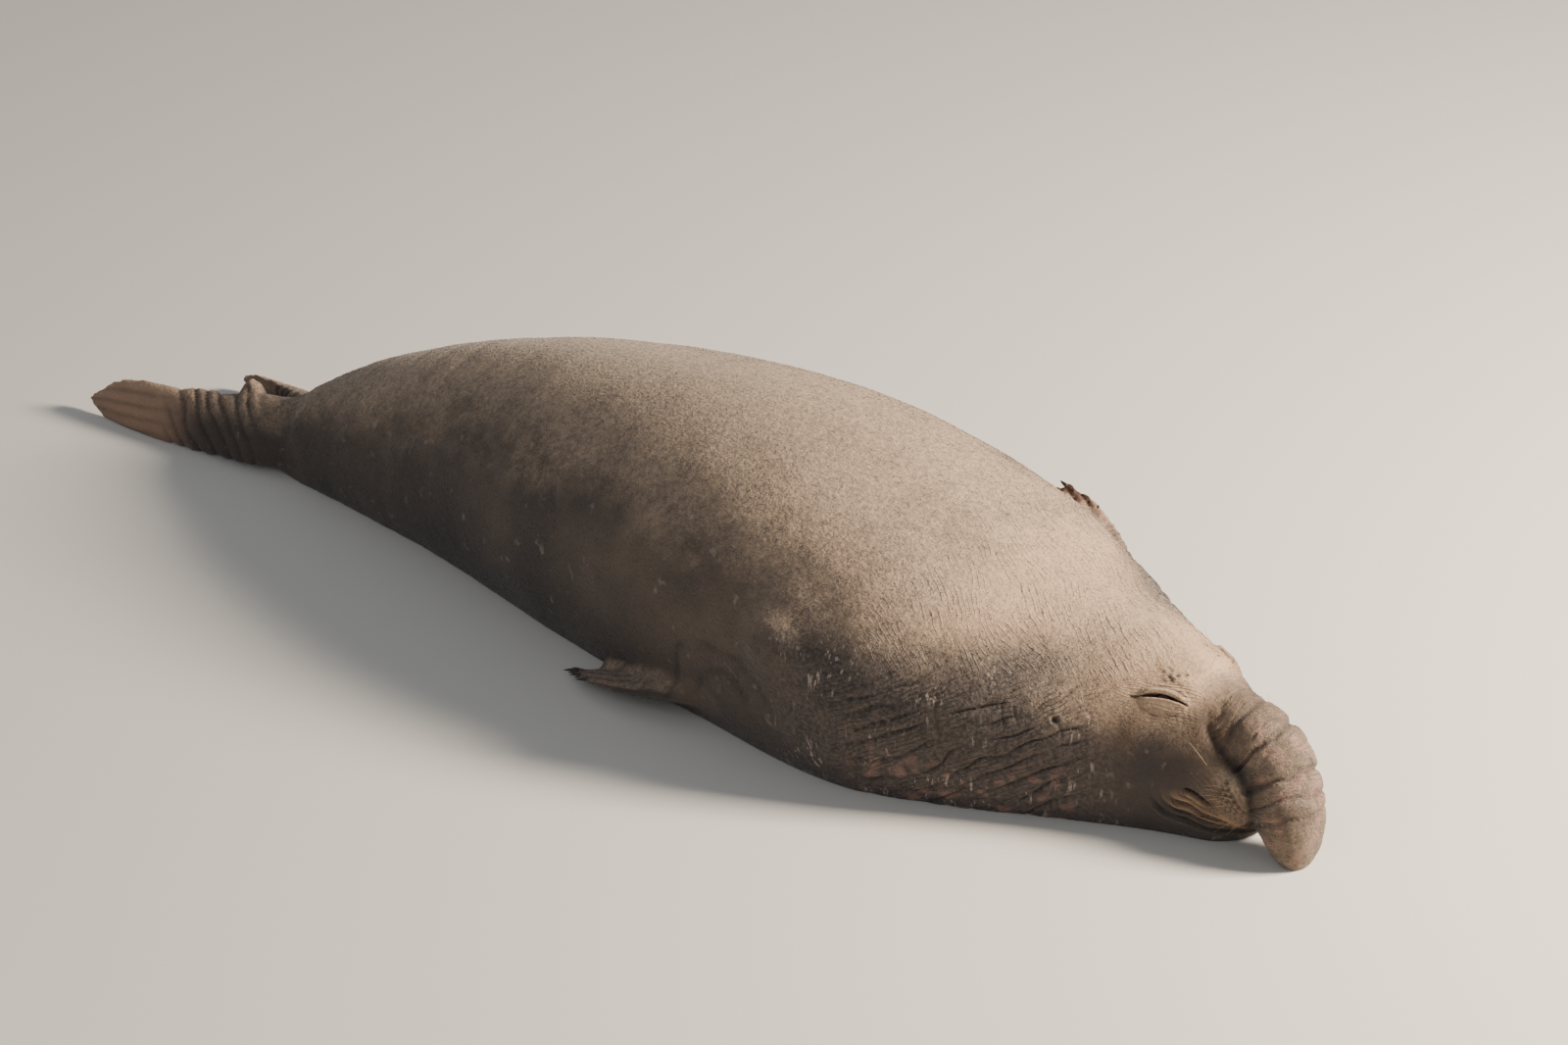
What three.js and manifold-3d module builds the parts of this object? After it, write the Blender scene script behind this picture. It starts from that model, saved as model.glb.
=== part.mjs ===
// A bull northern elephant seal asleep on its belly, life size, in millimetres.
// +X points to the nose, +Y to the seal's left and +Z up. The seal rests on the plane z = 0.
import * as THREE from "three";
import { mergeVertices } from "three/addons/utils/BufferGeometryUtils.js";
import Module from "manifold-3d";

const wasm = await Module();
wasm.setup();

// The middle of the footprint, in the coordinates of the tables below. The group moves it to the origin.
const originX = -302.6;
const originY = -104.3;

// Neighbouring nodes keep this gap.
const gap = 0.3;

// The trunk, from the tail to the muzzle. Each row is one station along X:
// x, middle in Y, half width, top, height of the widest line, depth of the keel under the ground, crown.
// The crown is 1 for a round back and larger for a narrower one.
const trunkStations = [
  [-1870, -180, 115, 150, 60, 50, 1],
  [-1700, -140, 190, 262, 90, 90, 1],
  [-1400, -92, 278, 425, 150, 130, 1],
  [-1000, -55, 378, 570, 200, 170, 1],
  [-400, -65, 500, 708, 260, 230, 1],
  [200, -85, 575, 745, 285, 260, 1],
  [700, -105, 578, 652, 265, 270, 1],
  [1000, -88, 480, 545, 215, 210, 1.05],
  [1200, -74, 380, 487, 175, 150, 1.15],
  [1400, -64, 272, 447, 150, 110, 1.2],
  [1520, -68, 210, 414, 130, 80, 1.2],
  [1640, -78, 156, 318, 110, 50, 1.1],
  [1735, -86, 110, 200, 90, 20, 1],
];
const trunkRings = 44;
const trunkSides = 32;
const tailCap = 0.05;
const muzzleCap = 0.035;
const keelBend = 0.85;

// The trunk is cut across at these places, from the tail forward.
const trunkNodes = [
  ["pelvis", -2500, -1500],
  ["hips", -1500, -650],
  ["belly", -650, 250],
  ["chest", 250, 980],
  ["neck", 980, 1190],
  ["head", 1190, 2500],
];

// A limb's rows hold: share of its length, x, y, z, half width, half thickness, bank in degrees.
const noseStations = [
  [0, 1470, -62, 300, 88, 78, 0],
  [0.25, 1600, -66, 288, 98, 84, 0],
  [0.5, 1718, -74, 242, 98, 94, 4],
  [0.75, 1800, -114, 138, 96, 97, 8],
  [1, 1864, -160, -18, 86, 82, 12],
];
// Creases across the proboscis: share of its length, depth, and breadth as a share.
const noseCreases = [
  [0.42, 13, 0.026],
  [0.6, 10, 0.024],
  [0.74, 8, 0.022],
];
const nostril = { share: 0.9, apart: 32, wide: 15, long: 26, rise: -0.84 };

// The lower jaw's edge: up from the throat to the corner of the mouth, and along the lips to the chin: x, height.
const mouthLine = [
  [1430, 4],
  [1525, 106],
  [1578, 132],
  [1630, 121],
  [1680, 90],
  [1740, 52],
  [1800, 28],
];
// The lower lip is set in by this much, so that the upper one hangs over it.
const lipInset = 9;
const whiskerPad = { x: 1698, apart: 96, z: 148, long: 82, wide: 62, high: 60, droop: 0.6 };

// The eye's slit rises by tilt degrees towards the nose.
const eye = { x: 1470, z: 362, tilt: 12, ball: 30, sunk: 26, lid: 37, flat: 0.86, slit: 7, slitLong: 52, slitDeep: 26 };
const ear = { x: 1250, z: 300, wide: 8, deep: 16 };
const brow = { x: 1482, z: 397, long: 58, high: 26, sunk: 17 };
const shoulder = { x: 527, z: 385, long: 125, high: 100, proud: 34, sunk: 60 };

const rightForeStations = [
  [0, 345, -520, 112, 70, 60, 8],
  [0.3, 175, -588, 84, 98, 50, 12],
  [0.6, 5, -625, 54, 92, 32, 14],
  [0.85, -145, -634, 32, 68, 20, 12],
  [1, -232, -632, 18, 42, 11, 10],
];
const leftForeStations = [
  [0, 930, 335, 110, 70, 60, -60],
  [0.3, 840, 424, 180, 92, 46, -66],
  [0.6, 745, 466, 266, 84, 30, -70],
  [0.85, 662, 471, 343, 62, 19, -74],
  [1, 602, 462, 400, 38, 11, -76],
];
const ridges = { count: 5, high: 3 };
const nails = { count: 5, radius: 8, long: 44, first: 0.965, last: 0.8, splay: 0.35, seed: 11 };

const rightHindStations = [
  [0, -1600, -185, 120, 120, 90, -30],
  [0.22, -1800, -268, 108, 116, 66, -50],
  [0.45, -1985, -312, 88, 98, 42, -62],
  [0.65, -2160, -342, 78, 92, 32, -68],
  [0.85, -2355, -364, 60, 84, 24, -72],
  [1, -2512, -374, 26, 50, 13, -74],
];
// The short inner toes stand up from the folded web: x, y, z of the tip and half width.
const rightToes = [
  [-1925, -225, 230, 42],
  [-2040, -272, 186, 22],
  [-2092, -286, 182, 20],
];
const toeRoot = 140;
const leftHindStations = [
  [0, -1620, -130, 110, 110, 75, 30],
  [0.3, -1790, -75, 100, 92, 52, 50],
  [0.55, -1945, -30, 76, 80, 34, 58],
  [0.8, -2110, 5, 52, 72, 22, 60],
  [1, -2250, 25, 34, 46, 12, 60],
];
const tailStations = [
  [0, -1780, -155, 110, 60, 40, 0],
  [0.5, -1880, -160, 104, 46, 26, 0],
  [1, -1950, -158, 92, 24, 12, 0],
];

const flank = [
  ["right", -1],
  ["left", 1],
];

const coat = new THREE.MeshStandardMaterial({ color: 0x7d6656, roughness: 0.85, metalness: 0 });
const faceCoat = new THREE.MeshStandardMaterial({ color: 0x9a8068, roughness: 0.8, metalness: 0 });
const bareSkin = new THREE.MeshStandardMaterial({ color: 0x8f7468, roughness: 0.7, metalness: 0 });
const flipperSkin = new THREE.MeshStandardMaterial({ color: 0x6f5b50, roughness: 0.8, metalness: 0 });
const wetEye = new THREE.MeshStandardMaterial({ color: 0x18120f, roughness: 0.15, metalness: 0 });

// Where a spline through the rows of a table passes at a place given by the first column.
function follow(rows, place) {
  let i = 0;
  while (i < rows.length - 2 && rows[i + 1][0] < place) i += 1;
  const a = rows[i];
  const b = rows[i + 1];
  const before = rows[Math.max(i - 1, 0)];
  const after = rows[Math.min(i + 2, rows.length - 1)];
  const span = b[0] - a[0];
  const s = (place - a[0]) / span;
  return a.slice(1).map((value, k) => {
    const end = b[k + 1];
    const leaving = ((end - before[k + 1]) / (b[0] - before[0])) * span;
    const arriving = ((after[k + 1] - value) / (after[0] - a[0])) * span;
    return (
      (2 * s ** 3 - 3 * s ** 2 + 1) * value +
      (s ** 3 - 2 * s ** 2 + s) * leaving +
      (3 * s ** 2 - 2 * s ** 3) * end +
      (s ** 3 - s ** 2) * arriving
    );
  });
}

// How far a rounded end has opened, from 0 to 1, at a share of the whole length.
function cap(share, length) {
  const left = 1 - Math.min(1, share / length);
  return Math.sqrt(Math.max(0, 1 - left * left));
}

// A repeatable draw of numbers from 0 to 1.
function dice(seed) {
  let state = seed;
  return () => {
    state = (state * 16807) % 2147483647;
    return state / 2147483647;
  };
}

// A closed surface made from a sphere's grid: place(share, around) gives each point.
// The rings lie closer together near both ends.
function wrap(rings, sides, place) {
  const shape = new THREE.SphereGeometry(1, sides, rings);
  const at = shape.getAttribute("position");
  for (let i = 0; i < at.count; i += 1) {
    const even = Math.floor(i / (sides + 1)) / rings;
    const bunched = (1 - Math.cos(Math.PI * even)) / 2;
    const around = (2 * Math.PI * ((i % (sides + 1)) % sides)) / sides;
    const point = place((even + bunched) / 2, around);
    at.setXYZ(i, point.x, point.y, point.z);
  }
  return shape;
}

// A three.js shape as a manifold-3d solid with its faces pointing out.
function solid(shape) {
  const bare = shape.clone();
  bare.deleteAttribute("normal");
  bare.deleteAttribute("uv");
  const merged = mergeVertices(bare, 1e-3);
  const vertProperties = merged.attributes.position.array;
  const triVerts = new Uint32Array(merged.index.array);
  const made = new wasm.Manifold(new wasm.Mesh({ numProp: 3, vertProperties, triVerts }));
  if (made.volume() > 0) return made;
  for (let i = 0; i < triVerts.length; i += 3) {
    [triVerts[i + 1], triVerts[i + 2]] = [triVerts[i + 2], triVerts[i + 1]];
  }
  return new wasm.Manifold(new wasm.Mesh({ numProp: 3, vertProperties, triVerts }));
}

// The largest closed surface of a solid, without the loose scraps of a cut.
function largest(part) {
  return part.decompose().reduce((best, piece) => (piece.volume() > best.volume() ? piece : best));
}

// A point of the trunk's skin, grown outwards by extra.
function trunkPoint(x, around, open = 1, extra = 0) {
  const [side, half, top, belt, keel, crown] = follow(trunkStations, x);
  const up = Math.cos(around);
  const out = Math.sin(around);
  const bend = up > 0 ? crown : keelBend;
  const reach = up > 0 ? top - belt : belt + keel;
  const middle = 0.35 * top;
  return new THREE.Vector3(
    x,
    side + (half + extra) * open * Math.sign(out) * Math.abs(out) ** bend,
    middle + (belt - middle + (reach + extra) * up) * open,
  );
}

function trunk(extra) {
  const first = trunkStations[0][0] - extra;
  const last = trunkStations.at(-1)[0] + extra;
  return solid(
    wrap(trunkRings, trunkSides, (share, around) => {
      const open = Math.min(cap(share, tailCap), cap(1 - share, muzzleCap));
      return trunkPoint(first + share * (last - first), around, open, extra);
    }),
  );
}

// A spot on the trunk at a given x and height, on its left (side = 1) or right (side = -1), and its directions.
function spot(x, z, side) {
  const [, , top, belt] = follow(trunkStations, x);
  const around = side * Math.acos(THREE.MathUtils.clamp((z - belt) / (top - belt), -1, 1));
  const at = trunkPoint(x, around);
  const forward = trunkPoint(x + 10, around).sub(at).normalize();
  const turned = trunkPoint(x, around + 0.05).sub(at);
  const out = new THREE.Vector3().crossVectors(forward, turned).normalize();
  return { at, out, forward };
}

// An oval lump with its long axis along forward and its depth along out.
function lump(at, forward, out, long, high, deep, sides = 12, rings = 8) {
  const across = new THREE.Vector3().crossVectors(out, forward).normalize();
  const along = new THREE.Vector3().crossVectors(across, out).normalize();
  const turn = new THREE.Matrix4().makeBasis(along, across, out).setPosition(at);
  return solid(new THREE.SphereGeometry(1, sides, rings).scale(long, high, deep).applyMatrix4(turn));
}

// The middle line of a limb at a share of its length, with the directions of its oval section.
function limbFrame(stations, share) {
  const step = 0.01;
  const [x, y, z, wide, thick, bank] = follow(stations, share);
  const a = follow(stations, Math.max(0, share - step));
  const b = follow(stations, Math.min(1, share + step));
  const forward = new THREE.Vector3(b[0] - a[0], b[1] - a[1], b[2] - a[2]).normalize();
  const across = new THREE.Vector3(0, Math.sign(forward.x), 0);
  across.addScaledVector(forward, -across.dot(forward)).normalize();
  across.applyAxisAngle(forward, THREE.MathUtils.degToRad(bank));
  const up = new THREE.Vector3().crossVectors(forward, across);
  return { at: new THREE.Vector3(x, y, z), forward, across, up, wide, thick };
}

// A tapered limb swept along its stations. press(share, around) says how far its skin is pressed in.
function limb(stations, rings, sides, startCap, endCap, press = () => 0) {
  return solid(
    wrap(rings, sides, (share, around) => {
      const { at, across, up, wide, thick } = limbFrame(stations, share);
      const open = Math.min(cap(share, startCap), cap(1 - share, endCap));
      const less = press(share, around);
      return at
        .addScaledVector(across, (wide - less) * open * Math.sin(around))
        .addScaledVector(up, (thick - less) * open * Math.cos(around));
    }),
  );
}

// A block that fills everything between two places along X.
function slab(from, to) {
  const box = new THREE.BoxGeometry(to - from, 3000, 3000);
  return solid(box.translate((from + to) / 2, 0, 0));
}

// The space under the mouth line, moved back and down by drop.
function underMouth(drop) {
  const [corner, chin] = [mouthLine[0][0] + drop, mouthLine.at(-1)[0] + drop];
  const floor = -50;
  const breadth = 800;
  const outline = new THREE.Shape();
  outline.moveTo(corner, floor);
  outline.lineTo(corner, mouthLine[0][1] - drop);
  outline.splineThru(mouthLine.slice(1).map(([x, z]) => new THREE.Vector2(x + drop, z - drop)));
  outline.lineTo(chin, floor);
  const block = new THREE.ExtrudeGeometry(outline, { depth: breadth, bevelEnabled: false, curveSegments: 3 });
  return solid(block.rotateX(Math.PI / 2).translate(0, breadth / 2, 0));
}

function shoulderLump(side, extra) {
  const { at, forward, out } = spot(shoulder.x, shoulder.z, side);
  const deep = shoulder.sunk + shoulder.proud + extra;
  at.addScaledVector(out, -shoulder.sunk);
  return lump(at, forward, out, shoulder.long + extra, shoulder.high + extra, deep, 16, 10);
}

function browLump(side) {
  const { at, forward, out } = spot(brow.x, brow.z, side);
  at.addScaledVector(out, -brow.sunk);
  return lump(at, forward, out, brow.long, brow.high, brow.high);
}

function whiskerPadLump(side) {
  const [middle] = follow(trunkStations, whiskerPad.x);
  const at = new THREE.Vector3(whiskerPad.x, middle + side * whiskerPad.apart, whiskerPad.z);
  const forward = new THREE.Vector3(1, 0, -whiskerPad.droop);
  const out = new THREE.Vector3(0, side, 0);
  return lump(at, forward, out, whiskerPad.long, whiskerPad.high, whiskerPad.wide);
}

function eyeSpot(side) {
  const place = spot(eye.x, eye.z, side);
  place.forward.applyAxisAngle(place.out, -side * THREE.MathUtils.degToRad(eye.tilt));
  return place;
}

function eyeball(side, extra) {
  const { at, forward, out } = eyeSpot(side);
  at.addScaledVector(out, -eye.sunk);
  const size = eye.ball + extra;
  return lump(at, forward, out, size, size, size, 14, 10);
}

// The lids stand a little proud of the face, and the slit between them opens on the eyeball.
function lids(side) {
  const { at, forward, out } = eyeSpot(side);
  at.addScaledVector(out, -eye.sunk);
  return lump(at, forward, out, eye.lid, eye.lid * eye.flat, eye.lid, 14, 10);
}

function lidSlit(side) {
  const { at, forward, out } = eyeSpot(side);
  return lump(at, forward, out, eye.slitLong, eye.slit, eye.slitDeep, 12, 6);
}

function earHole(side) {
  const { at, forward, out } = spot(ear.x, ear.z, side);
  return lump(at, forward, out, ear.wide, ear.wide, ear.deep, 8, 6);
}

// The whole trunk and head, before it is parted.
function sculptTrunk() {
  let whole = trunk(0);
  for (const [, side] of flank) {
    whole = whole.add(shoulderLump(side, 0)).add(browLump(side)).add(whiskerPadLump(side)).add(lids(side));
    whole = whole.subtract(eyeball(side, gap)).subtract(lidSlit(side)).subtract(earHole(side));
  }
  return whole;
}

function proboscis(extra) {
  const crease = (share) =>
    noseCreases.reduce((sum, [at, deep, wide]) => sum + deep * Math.exp(-(((share - at) / wide) ** 2)), -extra);
  return limb(noseStations, 28, 20, 0.2, 0.25, crease);
}

function nostrils() {
  const { at, forward, across, up, thick } = limbFrame(noseStations, nostril.share);
  const holes = flank.map(([, side]) => {
    const mouth = at.clone().addScaledVector(up, thick * nostril.rise).addScaledVector(across, side * nostril.apart);
    return lump(mouth, forward, up, nostril.long, nostril.wide, nostril.long, 10, 6);
  });
  return holes[0].add(holes[1]);
}

// A fore flipper with low ridges over its fingers and a nail rooted in the end of each.
function foreFlipper(stations, edgeSide) {
  const draw = dice(nails.seed);
  let made = limb(stations, 16, 20, 0.1, 0.22, (share, around) => {
    return ridges.high * share * Math.cos(2 * ridges.count * around);
  });
  for (let i = 0; i < nails.count; i += 1) {
    const rank = i / (nails.count - 1);
    const { at, forward, across, wide } = limbFrame(stations, nails.first + (nails.last - nails.first) * rank);
    const root = at.addScaledVector(across, edgeSide * wide * (0.1 + 0.62 * rank));
    const way = forward.addScaledVector(across, edgeSide * nails.splay * (0.8 + 0.4 * draw())).normalize();
    const long = nails.long * (0.85 + 0.3 * draw());
    const nail = new THREE.ConeGeometry(nails.radius, long, 6).translate(0, long * 0.28, 0);
    const turn = new THREE.Quaternion().setFromUnitVectors(new THREE.Vector3(0, 1, 0), way);
    made = made.add(solid(nail.applyQuaternion(turn).translate(root.x, root.y, root.z)));
  }
  return made;
}

// The right hind flipper lies on its edge, with its short inner toes folded upwards.
function rightHind(extra) {
  const grow = () => -extra;
  let made = limb(rightHindStations, 18, 14, 0.1, 0.2, grow);
  for (const [x, y, z, wide] of rightToes) {
    const rows = [
      [0, x + 25, y + 10, z - toeRoot, wide * 1.2, wide, 0],
      [0.6, x + 8, y + 4, z - toeRoot * 0.4, wide, wide * 0.8, 0],
      [1, x, y, z, wide * 0.8, wide * 0.65, 0],
    ];
    made = made.add(limb(rows, 8, 10, 0.1, 0.35, grow));
  }
  return made;
}

function leftHind(extra) {
  return limb(leftHindStations, 16, 14, 0.1, 0.2, () => -extra);
}

const seal = new THREE.Group();
seal.position.set(-originX, -originY, 0);

// Cuts a part off flat at the ground and adds it to the seal as a named mesh.
function show(name, part, finish) {
  const mesh = largest(part.trimByPlane([0, 0, 1], 0)).getMesh();
  const points = new Float32Array(mesh.numVert * 3);
  for (let i = 0; i < mesh.numVert; i += 1) {
    points.set(mesh.vertProperties.subarray(i * mesh.numProp, i * mesh.numProp + 3), i * 3);
  }
  const shape = new THREE.BufferGeometry();
  shape.setAttribute("position", new THREE.BufferAttribute(points, 3));
  shape.setIndex(new THREE.BufferAttribute(mesh.triVerts, 1));
  const node = new THREE.Mesh(shape, finish);
  node.name = name;
  seal.add(node);
}

const whole = sculptTrunk();
const mouthCut = underMouth(-gap);
for (const [name, from, to] of trunkNodes) {
  const piece = whole.intersect(slab(from + gap / 2, to - gap / 2));
  if (name === "head") show(name, piece.subtract(proboscis(gap)).subtract(mouthCut), faceCoat);
  else show(name, piece, coat);
}
show("lower_jaw", trunk(-lipInset).intersect(underMouth(gap)), faceCoat);
show("proboscis", proboscis(0).subtract(mouthCut.intersect(trunk(gap))).subtract(nostrils()), bareSkin);
for (const [name, side] of flank) show(`eye_${name}`, eyeball(side, 0), wetEye);

const clearOfTrunk = trunk(gap).add(shoulderLump(-1, gap)).add(shoulderLump(1, gap));
show("fore_flipper_right", foreFlipper(rightForeStations, 1).subtract(clearOfTrunk), flipperSkin);
show("fore_flipper_left", foreFlipper(leftForeStations, -1).subtract(clearOfTrunk), flipperSkin);
show("hind_flipper_right", rightHind(0).subtract(clearOfTrunk), flipperSkin);
show("hind_flipper_left", leftHind(0).subtract(clearOfTrunk).subtract(rightHind(gap)), flipperSkin);
const tail = limb(tailStations, 10, 12, 0.1, 0.3);
show("tail", tail.subtract(clearOfTrunk).subtract(rightHind(gap)).subtract(leftHind(gap)), coat);

export default seal;
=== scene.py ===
import math

import bmesh
import bpy
import numpy as np
from mathutils import Matrix, Vector, noise


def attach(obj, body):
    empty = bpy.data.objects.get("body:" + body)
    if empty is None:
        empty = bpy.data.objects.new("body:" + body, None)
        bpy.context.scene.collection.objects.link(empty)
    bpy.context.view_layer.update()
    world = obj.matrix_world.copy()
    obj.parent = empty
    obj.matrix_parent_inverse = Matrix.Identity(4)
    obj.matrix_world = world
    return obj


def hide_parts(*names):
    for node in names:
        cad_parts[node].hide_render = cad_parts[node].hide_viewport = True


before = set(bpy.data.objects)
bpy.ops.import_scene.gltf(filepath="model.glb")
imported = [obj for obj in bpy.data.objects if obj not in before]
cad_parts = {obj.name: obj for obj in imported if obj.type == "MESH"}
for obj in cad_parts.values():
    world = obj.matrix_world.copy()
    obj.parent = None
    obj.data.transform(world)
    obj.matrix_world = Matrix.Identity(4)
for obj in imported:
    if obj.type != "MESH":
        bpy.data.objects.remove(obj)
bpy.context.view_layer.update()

bl_info = {
    "name": "Sleeping elephant seal",
    "version": (1, 0, 0),
    "blender": (4, 5, 0),
    "location": "3D View > Sidebar > Seal",
    "description": "A bull northern elephant seal asleep on its belly, life size",
    "category": "Object",
}

# The tables are in millimetres, in the coordinates of the part's own tables. ORIGIN is where the finished
# seal's origin lies in them. +X points to the nose, +Y to the seal's left and +Z up.
MM = 0.001
ORIGIN = np.array((-302.6, -104.3, 0.0))

# x, middle in Y, half width, top, height of the widest line, depth of the keel under the ground, crown.
TRUNK = (
    (-1870, -180, 115, 150, 60, 50, 1),
    (-1700, -140, 190, 262, 90, 90, 1),
    (-1400, -92, 278, 425, 150, 130, 1),
    (-1000, -55, 378, 570, 200, 170, 1),
    (-400, -65, 500, 708, 260, 230, 1),
    (200, -85, 575, 745, 285, 260, 1),
    (700, -105, 578, 652, 265, 270, 1),
    (1000, -88, 480, 545, 215, 210, 1.05),
    (1200, -74, 380, 487, 175, 150, 1.15),
    (1400, -64, 272, 447, 150, 110, 1.2),
    (1520, -68, 210, 414, 130, 80, 1.2),
    (1640, -78, 156, 318, 110, 50, 1.1),
    (1735, -86, 110, 200, 90, 20, 1),
)
TAIL_CAP = 0.05
MUZZLE_CAP = 0.035
KEEL_BEND = 0.85
TRUNK_RINGS = 130
TRUNK_SIDES = 110

# A limb's rows hold: share of its length, x, y, z, half width, half thickness, bank in degrees.
PROBOSCIS = (
    (0, 1470, -62, 300, 88, 78, 0),
    (0.25, 1600, -66, 288, 98, 84, 0),
    (0.5, 1718, -74, 242, 98, 94, 4),
    (0.75, 1800, -114, 138, 96, 97, 8),
    (1, 1864, -160, -18, 86, 82, 12),
)
RIGHT_FORE = (
    (0, 345, -520, 112, 70, 60, 8),
    (0.3, 175, -588, 84, 98, 50, 12),
    (0.6, 5, -625, 54, 92, 32, 14),
    (0.85, -145, -634, 32, 68, 20, 12),
    (1, -232, -632, 18, 42, 11, 10),
)
LEFT_FORE = (
    (0, 930, 335, 110, 70, 60, -60),
    (0.3, 840, 424, 180, 92, 46, -66),
    (0.6, 745, 466, 290, 84, 30, -70),
    (0.85, 662, 472, 390, 64, 19, -74),
    (1, 596, 469, 452, 40, 11, -76),
)
RIGHT_HIND = (
    (0, -1600, -185, 120, 120, 90, -30),
    (0.22, -1800, -268, 108, 116, 66, -50),
    (0.45, -1985, -312, 88, 98, 42, -62),
    (0.65, -2160, -342, 78, 92, 32, -68),
    (0.85, -2355, -364, 60, 84, 24, -72),
    (1, -2512, -374, 26, 50, 13, -74),
)
LEFT_HIND = (
    (0, -1620, -130, 110, 110, 75, 30),
    (0.3, -1790, -75, 100, 92, 52, 50),
    (0.55, -1945, -30, 76, 80, 34, 58),
    (0.8, -2110, 5, 52, 72, 22, 60),
    (1, -2250, 25, 34, 46, 12, 60),
)
TAIL = (
    (0, -1780, -155, 110, 60, 40, 0),
    (0.5, -1880, -160, 104, 46, 26, 0),
    (1, -1950, -158, 92, 24, 12, 0),
)
# The folded inner toes of the right hind flipper: x, y, z of the tip and half width.
TOES = ((-1925, -225, 230, 42), (-2040, -272, 186, 22), (-2092, -286, 182, 20))
TOE_ROOT = 140
TOE_RINGS = 24
TOE_SIDES = 24
# Each limb: its rows, rings, sides, and the share of its length over which each end rounds off.
LIMBS = {
    "proboscis": (PROBOSCIS, 72, 64, 0.2, 0.25),
    "right_fore": (RIGHT_FORE, 60, 48, 0.1, 0.22),
    "left_fore": (LEFT_FORE, 60, 48, 0.1, 0.22),
    "right_hind": (RIGHT_HIND, 60, 40, 0.1, 0.2),
    "left_hind": (LEFT_HIND, 50, 36, 0.1, 0.2),
    "tail": (TAIL, 24, 24, 0.1, 0.3),
}
# Farther than this from a limb's middle line, in mm, no point belongs to it.
LIMB_REACH = 220
FORE_LIMBS = ("right_fore", "left_fore")
HIND_LIMBS = ("right_hind", "left_hind")

# The lips: x and height along the mouth, from its corner to the chin.
MOUTH = ((1525, 140), (1572, 158), (1635, 126), (1685, 102), (1740, 68), (1800, 36))
CORNER_X = 1572
CORNER_Z = 158
EYE_X = 1462
EYE_Z = 362
EYE_TILT = 12
EYE_BALL = 30
EYE_SUNK = 26
SLIT_HALF = 57
SLIT_OPEN = 5.5
EAR_X = 1250
EAR_Z = 300
BROW_X = 1482
BROW_Z = 397
BROW_SIZE = (58, 26, 26)
BROW_SUNK = 17
PAD_X = 1698
PAD_APART = 96
PAD_Z = 148
PAD_SIZE = (82, 60, 62)
PAD_DROOP = 0.6
SHOULDER_X = 527
SHOULDER_Z = 385
SHOULDER_SIZE = (125, 100, 94)
SHOULDER_SUNK = 66
NOSTRIL_SHARE = 0.9
NOSTRIL_APART = 32
NOSTRIL_RISE = -0.84
# Troughs across the proboscis: share of its length, depth in mm, and breadth as a share.
NOSE_TROUGHS = ((0.3, 9, 0.018), (0.45, 20, 0.018), (0.63, 16, 0.014), (0.72, 8, 0.01), (0.79, 7, 0.009))

CHEEK_HAIR_X = 1615
CHEEK_HAIR_Z = 228

COAT_DEPTH = 4
VOXEL = 0.0188
# Thin blades are swollen by about this much before the remesh, so that they survive it, and thinned after.
BLADE = 17
FLESH = (
    "pelvis", "hips", "belly", "chest", "neck", "head", "lower_jaw", "proboscis", "tail",
    "fore_flipper_right", "fore_flipper_left", "hind_flipper_right", "hind_flipper_left",
)
# What the skin's attributes say, each from 0 to 1, apart from line, which numbers the fine creases.
# Some of them paint light and shade into the colour: the fold and fine-line marks paint shade, the dark mark
# is partly painted shade and the pale marks partly painted light.
MARKS = ("dry_fur_and_painted_light", "shield", "crease", "pale", "flush", "dark", "stain", "bare", "line", "fine")
FLANKS = {"right": -1, "left": 1}

# The camera: angles chosen so that the ground line and contours fall on the photograph's, in degrees. Its
# distance and the width of the frame there are assumed, in metres, and set the scale of the whole.
CAMERA_AZIMUTH = 41
CAMERA_ELEVATION = 27
CAMERA_DISTANCE = 12.5
CAMERA_TARGET = (0, 0, 300)
FRAME_WIDTH = 4.35
SENSOR = 36
# Each light: name, place, size, power and colour. The key stands ahead on the left, the fill on the right.
LIGHTS = (
    ("key", (7.0, 4.2, 4.6), 2.2, 2700, (1.0, 0.88, 0.74)),
    ("fill", (1.5, -7.5, 5.0), 6.0, 130, (0.9, 0.95, 1.0)),
)
LIGHT_TARGET = (0, 0, 0.3)
FLOOR_SIZE = 40
FLOOR_DROP = 0.001


def linear(code):
    """Turns an sRGB hex colour into the linear values that a shader reads."""
    parts = [int(code[i:i + 2], 16) / 255 for i in (1, 3, 5)]
    return tuple(c / 12.92 if c <= 0.04045 else ((c + 0.055) / 1.055) ** 2.4 for c in parts)


class SealSettings(bpy.types.PropertyGroup):
    """The sizes and colours that a user would change."""

    flank: bpy.props.FloatVectorProperty(
        name="Flank", description="Dark brown of the flanks", subtype="COLOR", default=linear("#38302B"))
    back: bpy.props.FloatVectorProperty(
        name="Back", description="Warm brown of the back's fur", subtype="COLOR", default=linear("#7F6B59"))
    # The colour of the pale fur on what faces up stands partly for dried, dusty fur and partly for painted
    # light.
    dry_fur_and_painted_light: bpy.props.FloatVectorProperty(
        name="Dry fur", description="Pale fur on what faces up", subtype="COLOR", default=linear("#C8AA8A"))
    scar: bpy.props.FloatVectorProperty(
        name="Scars", description="Healed bites on the neck", subtype="COLOR", default=linear("#A99A8C"))
    flush: bpy.props.FloatVectorProperty(
        name="Bare skin", description="Pink of worn skin", subtype="COLOR", default=linear("#A67B6C"))
    tuft_length: bpy.props.FloatProperty(
        name="Tuft length", description="Length of a tuft on the body", unit="LENGTH", default=0.02)
    tuft_count: bpy.props.IntProperty(
        name="Tufts", description="Number of tufts on the body", default=38000, min=100)
    whisker_length: bpy.props.FloatProperty(
        name="Whiskers", description="Length of the longest whisker", unit="LENGTH", default=0.085)


def settings():
    return bpy.context.scene.seal


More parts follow.
